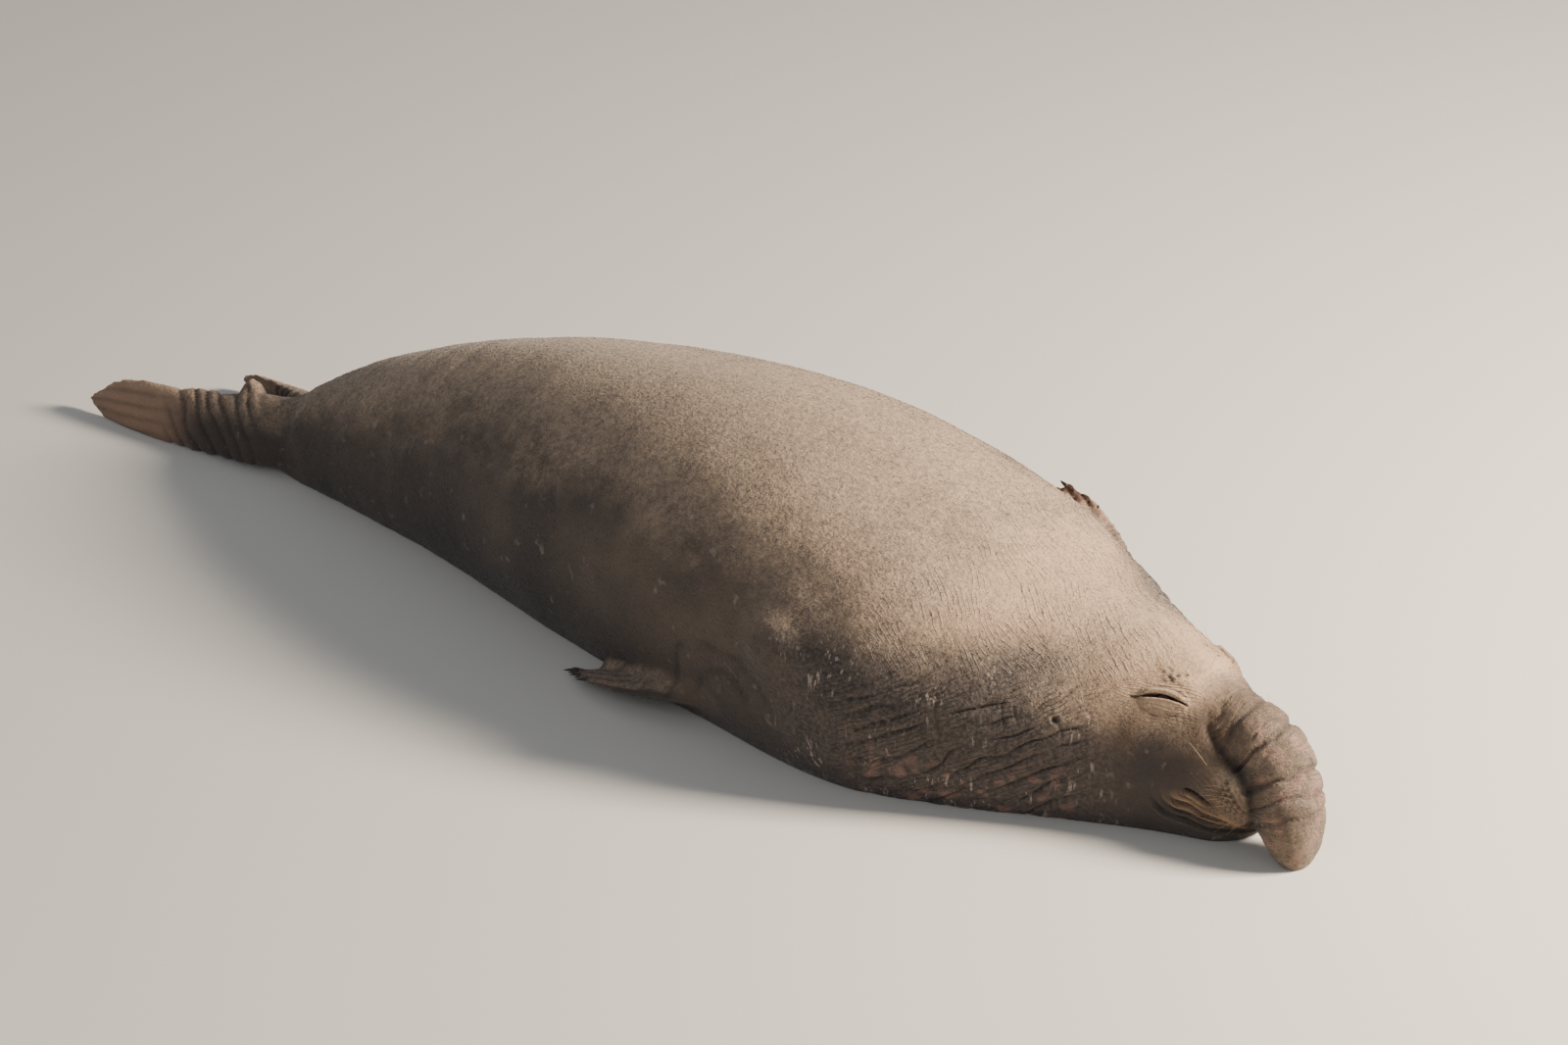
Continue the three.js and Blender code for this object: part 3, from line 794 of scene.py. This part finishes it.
class SEAL_OT_skin(bpy.types.Operator):
    """Makes the one skin that stands for all of the seal's flesh"""

    bl_idname = "seal.skin"
    bl_label = "Skin"

    def execute(self, context):
        bm = fused_body()
        even_out(bm, [vert for vert in bm.verts if not vert.is_boundary], 2)
        halve(bm, coarse_detail, 2)
        halve(bm, fine_detail, 2)
        halve(bm, eye_detail, 1)
        bm.normal_update()
        points = positions(bm)
        normals = np.array([vert.normal for vert in bm.verts])
        limbs = limb_places(points)
        points = thin_blades(points, limbs)
        marks = {name: np.zeros(len(points)) for name in MARKS}
        raised = np.zeros(len(points))
        for detail in (swell_body, fold_neck, wrinkle_nape, fold_armpits, groove_proboscis, fold_mouth,
                       groove_flippers, shape_lids, press_holes):
            raised += detail(points, marks, limbs)
        colour_body(points, normals, marks, limbs)
        layers = {name: bm.verts.layers.float.new(name) for name in MARKS}
        moved = to_scene(points + normals * raised[:, None])
        for i, vert in enumerate(bm.verts):
            vert.co = moved[i]
            for name, layer in layers.items():
                vert[layer] = float(marks[name][i])
        close_at_ground(bm)
        skin = new_object("seal_skin", bm)
        skin.data.materials.append(coat_material())
        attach(skin, "root")
        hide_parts(*FLESH)
        return {"FINISHED"}


def coarse_detail(points):
    """Whether each point lies on the head, the neck or a flipper."""
    x, z = points[:, 0], points[:, 2]
    limbs = [near_limb(points, name, 125) for name in FORE_LIMBS + HIND_LIMBS]
    return (x > 1180) | ((x > 780) & (z < 420)) | np.any(limbs, axis=0)


def fine_detail(points):
    """Whether each point lies on the lips, the lids, the proboscis or the shield of the neck."""
    x, z = points[:, 0], points[:, 2]
    lips = (x > 1470) & (z < 200) & (z > 12)
    places = [eye_offsets(points, side) for side in FLANKS.values()]
    lids = np.any([np.hypot(a, b - 20) < 88 for a, b, _ in places], axis=0)
    shield = (x > 900) & (x < 1300) & (z < 330) & (z > 12)
    return lips | (lids & (z > 230)) | (near_limb(points, "proboscis", 125) & (x > 1560)) | shield


def eye_detail(points):
    """Whether each point lies close to the slit between the lids."""
    close = np.zeros(len(points), dtype=bool)
    for side in FLANKS.values():
        a, b, depth = eye_offsets(points, side)
        close |= (np.abs(a) < 58) & (np.abs(b) < 34) & (np.abs(depth) < 50)
    return close


def close_at_ground(bm):
    """Cuts the skin off flat where it rests on the ground, and closes the cut."""
    everything = bm.verts[:] + bm.edges[:] + bm.faces[:]
    bmesh.ops.bisect_plane(bm, geom=everything, plane_co=(0, 0, 0), plane_no=(0, 0, -1), clear_outer=True)
    loose = [vert for vert in bm.verts if not vert.link_faces]
    bmesh.ops.delete(bm, geom=loose, context="VERTS")
    rim = [edge for edge in bm.edges if edge.is_boundary]
    bmesh.ops.edgeloop_fill(bm, edges=rim)


def add(tree, kind, inputs=(), **options):
    """Adds a node with its settings. inputs gives, for each socket, a value or the output that feeds it."""
    node = tree.nodes.new(kind)
    for name, value in options.items():
        setattr(node, name, value)
    for key, value in dict(inputs).items():
        if isinstance(value, bpy.types.NodeSocket):
            tree.links.new(value, node.inputs[key])
        else:
            node.inputs[key].default_value = value
    return node


def start_material(name, roughness, **sockets):
    """A new material with one Principled shader, whose constant values are set on its own sockets."""
    made = bpy.data.materials.new(name)
    made.use_nodes = True
    shader = made.node_tree.nodes["Principled BSDF"]
    shader.inputs["Roughness"].default_value = roughness
    for key, value in sockets.items():
        shader.inputs[key.replace("_", " ")].default_value = value
    return made, made.node_tree, shader


def coat_material():
    """Short seal fur, worn and dried by the sun: its grain lies along the body, and it is palest on top,
    partly as painted light; shade is painted into its folds and low places.
    """
    name = "short_seal_fur_dried_with_painted_light_and_shade"
    if name in bpy.data.materials:
        return bpy.data.materials[name]
    made, tree, shader = start_material(name, 0.78, Sheen_Weight=0.12, Sheen_Roughness=0.5)
    chosen = settings()
    place = add(tree, "ShaderNodeTexCoord").outputs["Object"]
    mark = {key: add(tree, "ShaderNodeAttribute", attribute_name=key).outputs["Fac"] for key in MARKS}

    def cloud(scale, detail, low, high, stretch=(1, 1, 1), turn=(0, 0, 0)):
        turned = {"Vector": place, "Scale": stretch, "Rotation": turn}
        laid = add(tree, "ShaderNodeMapping", turned).outputs[0]
        value = add(tree, "ShaderNodeTexNoise", {"Vector": laid, "Scale": scale, "Detail": detail}).outputs[0]
        spread = {"Value": value, "From Min": low, "From Max": high}
        return add(tree, "ShaderNodeMapRange", spread).outputs[0]

    def times(*factors):
        value = factors[0]
        for factor in factors[1:]:
            value = add(tree, "ShaderNodeMath", {0: value, 1: factor}, operation="MULTIPLY").outputs[0]
        return value

    wide = cloud(2.2, 4, 0.35, 0.65)
    blotch = cloud(11, 5, 0.38, 0.62)
    speckle = cloud(95, 4, 0.4, 0.62)
    grit = cloud(260, 3, 0.5, 0.64)
    spots = cloud(24, 2, 0.66, 0.76)
    powder = cloud(60, 6, 0.25, 0.75)
    patches = cloud(19, 4, 0.5, 0.66)
    gouge = cloud(1, 3, 0.61, 0.68, stretch=(85, 85, 12), turn=(0.1, 0.3, 0.1))
    slash = cloud(1, 3, 0.63, 0.7, stretch=(80, 80, 12), turn=(0.1, -0.7, 0.2))
    either = add(tree, "ShaderNodeMath", {0: gouge, 1: slash}, operation="MAXIMUM").outputs[0]
    torn = cloud(7, 2, 0.46, 0.58)
    waver = cloud(28, 2, 0.2, 1.2)
    # The fine creases, drawn as a furrow: a bump, and painted shade along them.
    line = add(tree, "ShaderNodeMath", {0: mark["line"], 1: waver}, operation="ADD").outputs[0]
    near_line = add(tree, "ShaderNodeMath", {0: line, 1: 0.5}, operation="PINGPONG").outputs[0]
    narrow = {"Value": near_line, "From Max": 0.17, "To Min": 1.0, "To Max": 0.0}
    furrow = times(add(tree, "ShaderNodeMapRange", narrow).outputs[0], cloud(17, 2, 0.42, 0.56), mark["fine"])

    colour = (*chosen.flank, 1)
    layers = (
        (times(wide, 0.4), chosen.back),
        # Lighter brown on what faces up: partly dried fur, partly painted light.
        (times(mark["dry_fur_and_painted_light"], 0.8), chosen.back),
        (times(blotch, 0.3), linear("#3C322D")),
        # Darker wherever the dark mark is high: painted shade low on the flanks, on the cheeks, on the neck
        # behind the head, on the proboscis and in the slits of the eyes, over the skin's own darker brown; on
        # the flippers their own darker skin.
        (times(mark["dark"], 0.9), linear("#2B2421")),
        (times(spots, 0.3), chosen.scar),
        # The shield of the neck darker: partly its own thick skin, partly painted shade.
        (times(mark["shield"], 0.65), linear("#332B27")),
        (times(mark["shield"], blotch, 0.5), linear("#272220")),
        (times(mark["shield"], speckle, 0.35), linear("#6F6058")),
        (times(mark["shield"], either, torn, 0.7), chosen.scar),
        # Pale tan wherever the pale mark is high: partly the skin's own paler tan, partly painted light on
        # the forehead, around the eyes, on the top of the neck, the whisker pads, the ridges of the mouth and
        # the hind flippers.
        (times(mark["pale"], 0.75), linear("#BA9675")),
        (times(mark["bare"], 0.85), linear("#79654F")),
        (times(mark["bare"], blotch, 0.5), linear("#9A8470")),
        (times(mark["bare"], patches, 0.65), linear("#4C3C2F")),
        (times(mark["bare"], speckle, 0.5), linear("#4F4035")),
        # Painted shade on the inner, lower side of the proboscis, over its darker brown.
        (times(mark["bare"], mark["dark"], 0.8), linear("#2F2620")),
        (times(mark["bare"], spots, 0.7), linear("#B98F80")),
        (times(mark["flush"], 0.6), chosen.flush),
        (times(mark["stain"], 0.7), linear("#523B25")),
        # Pale dusty fur on what faces up: partly real dust and dried fur, partly painted light.
        (times(mark["dry_fur_and_painted_light"], powder, 0.65), chosen.dry_fur_and_painted_light),
        (times(mark["dry_fur_and_painted_light"], grit, 0.45), linear("#D8C2A2")),
        # Painted shade along the fine creases.
        (times(furrow, 0.75), linear("#2A2320")),
        # Painted shade in the folds, grooves, holes and slits of the skin.
        (times(mark["crease"], 0.9), linear("#241D1A")),
    )
    for factor, over in layers:
        mixed = {0: factor, 6: colour, 7: (*over, 1)}
        colour = add(tree, "ShaderNodeMix", mixed, data_type="RGBA").outputs[2]
    tree.links.new(colour, shader.inputs["Base Color"])

    # Hairs about 3 mm wide and 15 mm long, drawn coarser than the real ones so that they show.
    grain = cloud(1, 2, 0.2, 0.8, stretch=(65, 320, 320))
    cell = {"Vector": place, "Scale": 150.0}
    cracks = add(tree, "ShaderNodeTexVoronoi", cell, feature="DISTANCE_TO_EDGE").outputs[0]
    creased = add(tree, "ShaderNodeMapRange", {"Value": cracks, "From Max": 0.12}).outputs[0]
    soft = add(tree, "ShaderNodeBump", {"Height": grain, "Strength": 0.3, "Distance": 0.002})
    rough = add(tree, "ShaderNodeBump", {
        "Height": speckle, "Strength": 0.3, "Distance": 0.003, "Normal": soft.outputs[0]})
    bareness = times(mark["bare"], 0.7)
    skin = add(tree, "ShaderNodeBump", {
        "Height": creased, "Strength": bareness, "Distance": 0.003, "Normal": rough.outputs[0]})
    folded = add(tree, "ShaderNodeBump", {
        "Height": furrow, "Strength": 0.8, "Distance": 0.004, "Normal": skin.outputs[0]}, invert=True)
    tree.links.new(folded.outputs[0], shader.inputs["Normal"])
    return made


def wet_eye_material():
    """A dark eye under a film of tears: nearly black, with a sharp gloss."""
    made, _, shader = start_material("wet_dark_eye", 0.06, IOR=1.38, Coat_Weight=1.0, Coat_Roughness=0.03)
    shader.inputs["Base Color"].default_value = (*linear("#1B1310"), 1)
    return made


def horn_material(name, code, roughness):
    """Keratin grown in fine lengthwise layers, worn dull and streaked with a darker tone of its colour."""
    made, tree, shader = start_material(name, roughness)
    place = add(tree, "ShaderNodeTexCoord").outputs["Object"]
    streak = add(tree, "ShaderNodeTexNoise", {"Vector": place, "Scale": 160.0, "Detail": 3.0}).outputs[0]
    dark = (*(value * 0.45 for value in linear(code)), 1)
    mixed = {0: streak, 6: dark, 7: (*linear(code), 1)}
    colour = add(tree, "ShaderNodeMix", mixed, data_type="RGBA").outputs[2]
    tree.links.new(colour, shader.inputs["Base Color"])
    return made


class SEAL_OT_eyes(bpy.types.Operator):
    """Makes the two eyeballs behind the lids"""

    bl_idname = "seal.eyes"
    bl_label = "Eyes"

    def execute(self, context):
        material = wet_eye_material()
        for name, side in FLANKS.items():
            bm = bmesh.new()
            at, forward, out = spot(EYE_X, EYE_Z, side)
            lump(bm, at, forward, out, (EYE_BALL,) * 3, EYE_SUNK)
            eyeball = new_object(f"eyeball_{name}", bm)
            eyeball.data.materials.append(material)
            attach(eyeball, "root")
            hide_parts(f"eye_{name}")
        return {"FINISHED"}


def hair(bm, at, way, sag, length, radius, rings=9, sides=6):
    """Adds one tapered hair that leaves along way and sags."""
    def place(share, around):
        middle = at + way * (share * length)[:, None]
        middle[:, 2] -= sag * length * share**2
        across = unit(np.cross(way, (0.3, 0.2, 1)))
        up = np.cross(way, across)
        thick = radius * np.sqrt(np.maximum(0, 1 - share)) * opening(share, 0.04, 0.04)
        return middle + across * (thick * np.sin(around))[:, None] + up * (thick * np.cos(around))[:, None]
    loft(bm, rings, sides, place)


class SEAL_OT_whiskers(bpy.types.Operator):
    """Makes the whiskers of the muzzle and the stiff hairs over the eyes"""

    bl_idname = "seal.whiskers"
    bl_label = "Whiskers"

    def execute(self, context):
        draw = np.random.default_rng(5)
        longest = settings().whisker_length / MM
        bm = bmesh.new()
        for at, forward, out in pad_roots():
            way = unit(out * 0.7 - forward * 0.7 + draw.normal(0, 0.14, 3))
            if at[2] > 80:
                hair(bm, at - out * 5, way, 0.35, longest * draw.uniform(0.25, 0.75), 0.6)
        for at, forward, out in brow_roots():
            way = unit(out * 0.3 - forward * 0.85 + (0, 0, 0.25) + draw.normal(0, 0.09, 3))
            hair(bm, at - out * 6, way, 0.1, longest * draw.uniform(0.4, 1.1), 0.55)
        for side in FLANKS.values():
            at, forward, out = spot(CHEEK_HAIR_X, CHEEK_HAIR_Z, side)
            hair(bm, at - out * 6, unit(out * 0.25 - forward * 0.8 + (0, 0, 0.5)), 0.05, longest * 1.1, 0.9)
        whiskers = new_object("whiskers", bm)
        whiskers.data.materials.append(horn_material("stiff_whisker_keratin", "#B49A74", 0.45))
        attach(whiskers, "root")
        return {"FINISHED"}


# The nails of a fore flipper: how many, half width, length, and the shares of the flipper that bear them.
NAIL_COUNT = 5
NAIL_RADIUS = 8
NAIL_LENGTH = 44
NAIL_FIRST = 0.965
NAIL_LAST = 0.8
NAIL_SPLAY = 0.35


class SEAL_OT_nails(bpy.types.Operator):
    """Makes the five curved nails on each fore flipper"""

    bl_idname = "seal.nails"
    bl_label = "Nails"

    def execute(self, context):
        material = horn_material("worn_dark_nail_keratin", "#3A302B", 0.4)
        for name, edge, scale, lean in (("right_fore", 1, 1, 0), ("left_fore", -1, 0.7, -0.5)):
            draw = np.random.default_rng(11)
            rows = LIMBS[name][0]
            bm = bmesh.new()
            for i in range(NAIL_COUNT):
                rank = i / (NAIL_COUNT - 1)
                share = np.array((NAIL_FIRST + (NAIL_LAST - NAIL_FIRST) * rank,))
                at, forward, across, up, wide, thick = [value[0] for value in limb_frame(rows, share)]
                root = at + across * edge * wide * (0.1 + 0.62 * rank)
                splay = NAIL_SPLAY * scale * draw.uniform(0.8, 1.2)
                way = unit(forward + across * edge * splay + (lean, 0, lean))
                length = NAIL_LENGTH * scale * draw.uniform(0.8, 1)
                self.nail(bm, root - way * length * 0.22, way, up, length)
            nails = new_object(f"nails_{name}", bm)
            nails.data.materials.append(material)
            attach(nails, "root")
        return {"FINISHED"}

    def nail(self, bm, at, way, up, length):
        across = unit(np.cross(way, up))

        def place(share, around):
            middle = at + way * (share * length)[:, None] - up * (5 * share**2)[:, None]
            wide = NAIL_RADIUS * (1 - share**2.2) * opening(share, 0.08, 0.04)
            sideways = across * (wide * 0.75 * np.sin(around))[:, None]
            return middle + sideways + up * (wide * 0.55 * np.cos(around))[:, None]

        loft(bm, 16, 14, place)


# One tuft: a thin closed blade with a root ring, a middle ring and a tip. Faces are rows of its points.
TUFT_FACES = ((0, 1, 4, 3), (1, 2, 5, 4), (2, 0, 3, 5), (3, 4, 6), (4, 5, 6), (5, 3, 6), (0, 2, 1))
TUFT_POINTS = 7
PATCH = 0.003
TUFT_WIDTH = 0.0013
FACE_TUFT_WIDTH = 0.001
FACE_TUFT_SCALE = 0.4


def scatter(mesh, count, weight, draw):
    """Random places on a mesh: point, normal, and the skin's marks there."""
    mesh.calc_loop_triangles()
    corners = np.empty(len(mesh.loop_triangles) * 3, dtype=np.int32)
    mesh.loop_triangles.foreach_get("vertices", corners)
    corners = corners.reshape(-1, 3)
    at = np.empty(len(mesh.vertices) * 3)
    mesh.vertices.foreach_get("co", at)
    at = at.reshape(-1, 3)
    up = np.empty(len(mesh.vertices) * 3)
    mesh.vertices.foreach_get("normal", up)
    up = up.reshape(-1, 3)
    a, b, c = (at[corners[:, k]] for k in range(3))
    area = np.linalg.norm(np.cross(b - a, c - a), axis=1) / 2
    chance = area * weight(to_table((a + b + c) / 3))
    pick = draw.choice(len(corners), count, p=chance / chance.sum())
    share = draw.dirichlet((1, 1, 1), count)
    point = np.einsum("ik,ikj->ij", share, at[corners[pick]])
    normal = unit(np.einsum("ik,ikj->ij", share, up[corners[pick]]))
    marks = {}
    for name in MARKS:
        values = np.empty(len(mesh.vertices), dtype=np.float32)
        mesh.attributes[name].data.foreach_get("value", values)
        marks[name] = np.einsum("ik,ik->i", share, values[corners[pick]])
    return point, normal, marks


def hair_flow(points, limbs):
    """The way the coat lies: back and a little down on the body, outwards along each flipper."""
    flow = np.tile((-1.0, 0.0, -0.22), (len(points), 1))
    for name, (share, _, _, belongs) in limbs.items():
        forward = limb_frame(LIMBS[name][0], share)[1]
        way = -forward if name == "proboscis" else forward
        flow = flow * (1 - belongs[:, None]) + way * belongs[:, None]
    return flow


def unwrap(points, limbs):
    """A flat place for each point: along and around the trunk, with a strip for each limb above it."""
    x = points[:, 0]
    side, half, top, belt = follow(TRUNK, np.clip(x, TRUNK[0][0], TRUNK[-1][0])).T[:4]
    angle = np.arctan2((points[:, 1] - side) / half, (points[:, 2] - belt) / (top - belt))
    u = 0.01 + 0.98 * (x - TRUNK[0][0]) / (TRUNK[-1][0] - TRUNK[0][0])
    v = 0.01 + 0.6 * (angle / (2 * math.pi) + 0.5)
    strip = 0.38 / len(limbs)
    for k, (name, (share, lateral, rise, belongs)) in enumerate(limbs.items()):
        on = belongs > 0.5
        turn = np.arctan2(lateral, rise) / (2 * math.pi) + 0.5
        u = np.where(on, 0.01 + 0.98 * share, u)
        v = np.where(on, 0.62 + strip * (k + 0.05 + 0.9 * turn), v)
    return np.stack((np.clip(u, 0.005, 0.995), v), axis=1)


def make_tufts(name, skin, count, length, width, weight, seed):
    """Adds a piece of coat: thin tufts that lie along the body, rooted in the skin."""
    draw = np.random.default_rng(seed)
    point, normal, marks = scatter(skin.data, count, weight, draw)
    table = to_table(point)
    limbs = limb_places(table)
    flow = hair_flow(table, limbs) + draw.normal(0, 0.13, (count, 3))
    way = unit(flow - normal * dot(flow, normal)[:, None])
    across = np.cross(way, normal)
    long = length * draw.uniform(0.6, 1.15, count)[:, None]
    wide = width * draw.uniform(0.7, 1.2, count)[:, None]
    thick = wide * 0.35
    lift = np.clip(draw.normal(0.06, 0.04, count), 0.015, 0.16)[:, None]
    root = point - normal * 0.001
    middle = point + way * long * 0.5 + normal * long * lift
    tip = point + way * long + normal * long * lift * 0.9
    rings = (
        root - across * wide, root + across * wide, root + normal * thick * 2,
        middle - across * wide * 0.7, middle + across * wide * 0.7, middle + normal * thick, tip,
    )
    verts = np.stack(rings, axis=1).reshape(-1, 3)
    verts[:, 2] = np.maximum(verts[:, 2], 0.0005)
    base = np.arange(count)[:, None] * TUFT_POINTS
    faces = [list(base[:, 0][:, None] + np.array(face)[None]) for face in TUFT_FACES]
    mesh = bpy.data.meshes.new(name)
    mesh.from_pydata(verts, [], [tuple(int(i) for i in face) for group in faces for face in group])
    for mark, values in marks.items():
        layer = mesh.attributes.new(mark, "FLOAT", "POINT")
        layer.data.foreach_set("value", np.repeat(values, TUFT_POINTS).astype(np.float32))
    patch = np.array(((0, 0), (1, 0), (0.5, 0.3), (0.1, 0.5), (0.9, 0.5), (0.5, 0.7), (0.5, 1))) * PATCH
    flat = (unwrap(table, limbs)[:, None, :] + patch[None]).reshape(-1, 2)
    corner = np.empty(len(mesh.loops), dtype=np.int32)
    mesh.loops.foreach_get("vertex_index", corner)
    uv = mesh.uv_layers.new(name="OFBake")
    uv.data.foreach_set("uv", flat[corner].astype(np.float32).ravel())
    coat = bpy.data.objects.new(name, mesh)
    bpy.context.scene.collection.objects.link(coat)
    coat.data.materials.append(coat_material())
    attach(coat, "root")


def fine_zone(points):
    """1 on the face, the proboscis and the flippers, where the coat is finest."""
    limbs = [near_limb(points, name, 150) for name in FORE_LIMBS + HIND_LIMBS + ("proboscis",)]
    return (np.any(limbs, axis=0) | (points[:, 0] > 1250)).astype(float)


def clear_zone(points):
    """0 on the lids and close to the ground, where no tuft grows."""
    clear = ease(points[:, 2], 6, 20)
    for side in FLANKS.values():
        a, b, _ = eye_offsets(points, side)
        clear = clear * ease(np.hypot(a / 46, b / 22), 0.9, 1.3)
    return clear


class SEAL_OT_coat(bpy.types.Operator):
    """Makes the short flat tufts that break the outline of the body, and finer ones on face and flippers"""

    bl_idname = "seal.coat"
    bl_label = "Coat"

    def execute(self, context):
        chosen = settings()
        skin = bpy.data.objects["seal_skin"]
        count = chosen.tuft_count
        half = count // 2

        def front(points):
            return clear_zone(points) * (1 - fine_zone(points)) * (points[:, 0] > 0)

        def rear(points):
            return clear_zone(points) * (1 - fine_zone(points)) * (points[:, 0] <= 0)

        def face(points):
            return clear_zone(points) * fine_zone(points)

        length = chosen.tuft_length
        make_tufts("coat_front", skin, half, length, TUFT_WIDTH, front, 21)
        make_tufts("coat_rear", skin, half, length, TUFT_WIDTH, rear, 22)
        make_tufts("coat_face_and_flippers", skin, half, length * FACE_TUFT_SCALE, FACE_TUFT_WIDTH, face, 23)
        return {"FINISHED"}


def aim(made, at, target):
    """Places a light or the camera, and turns it to face the target."""
    made.location = at
    made.rotation_euler = (Vector(target) - Vector(at)).to_track_quat("-Z", "Y").to_euler()
    bpy.context.scene.collection.objects.link(made)


def soft_light(name, at, size, power, colour):
    lamp = bpy.data.lights.new(name, "AREA")
    lamp.shape = "SQUARE"
    lamp.size = size
    lamp.energy = power
    lamp.color = colour
    aim(bpy.data.objects.new(name, lamp), at, LIGHT_TARGET)


class SEAL_OT_stage(bpy.types.Operator):
    """Makes the pale floor, the soft studio light and the camera"""

    bl_idname = "seal.stage"
    bl_label = "Stage"

    def execute(self, context):
        bm = bmesh.new()
        bmesh.ops.create_grid(bm, x_segments=1, y_segments=1, size=FLOOR_SIZE)
        bmesh.ops.translate(bm, verts=bm.verts, vec=(0, 0, -FLOOR_DROP))
        floor = new_object("floor", bm)
        made, _, shader = start_material("matt_studio_floor", 0.9)
        shader.inputs["Base Color"].default_value = (*linear("#DAD5CB"), 1)
        floor.data.materials.append(made)
        for light in LIGHTS:
            soft_light(*light)
        sky = bpy.data.worlds.new("studio")
        sky.use_nodes = True
        sky.node_tree.nodes["Background"].inputs["Color"].default_value = (0.85, 0.9, 1.0, 1)
        sky.node_tree.nodes["Background"].inputs["Strength"].default_value = 0.3
        context.scene.world = sky
        self.camera(context)
        return {"FINISHED"}

    def camera(self, context):
        a = math.radians(CAMERA_AZIMUTH)
        e = math.radians(CAMERA_ELEVATION)
        back = Vector((math.sin(a) * math.cos(e), -math.cos(a) * math.cos(e), math.sin(e)))
        target = Vector(to_scene(np.array(CAMERA_TARGET, dtype=float)))
        lens = bpy.data.cameras.new("camera")
        lens.sensor_width = SENSOR
        lens.lens = SENSOR * CAMERA_DISTANCE / FRAME_WIDTH
        lens.clip_end = 200
        made = bpy.data.objects.new("camera", lens)
        aim(made, target + back * CAMERA_DISTANCE, target)
        context.scene.camera = made


STEPS = (SEAL_OT_skin, SEAL_OT_eyes, SEAL_OT_whiskers, SEAL_OT_nails, SEAL_OT_coat, SEAL_OT_stage)


class SEAL_PT_panel(bpy.types.Panel):
    """The seal's settings and the steps that make it"""

    bl_label = "Sleeping elephant seal"
    bl_idname = "SEAL_PT_panel"
    bl_space_type = "VIEW_3D"
    bl_region_type = "UI"
    bl_category = "Seal"

    def draw(self, context):
        for name in SealSettings.__annotations__:
            self.layout.prop(context.scene.seal, name)
        for step in STEPS:
            self.layout.operator(step.bl_idname)


def register():
    for made in (SealSettings, *STEPS, SEAL_PT_panel):
        bpy.utils.register_class(made)
    bpy.types.Scene.seal = bpy.props.PointerProperty(type=SealSettings)


def unregister():
    del bpy.types.Scene.seal
    for made in reversed((SealSettings, *STEPS, SEAL_PT_panel)):
        bpy.utils.unregister_class(made)


def main():
    register()
    bpy.ops.seal.skin()
    bpy.ops.seal.eyes()
    bpy.ops.seal.whiskers()
    bpy.ops.seal.nails()
    bpy.ops.seal.coat()
    bpy.ops.seal.stage()


if __name__ == "__main__":
    main()
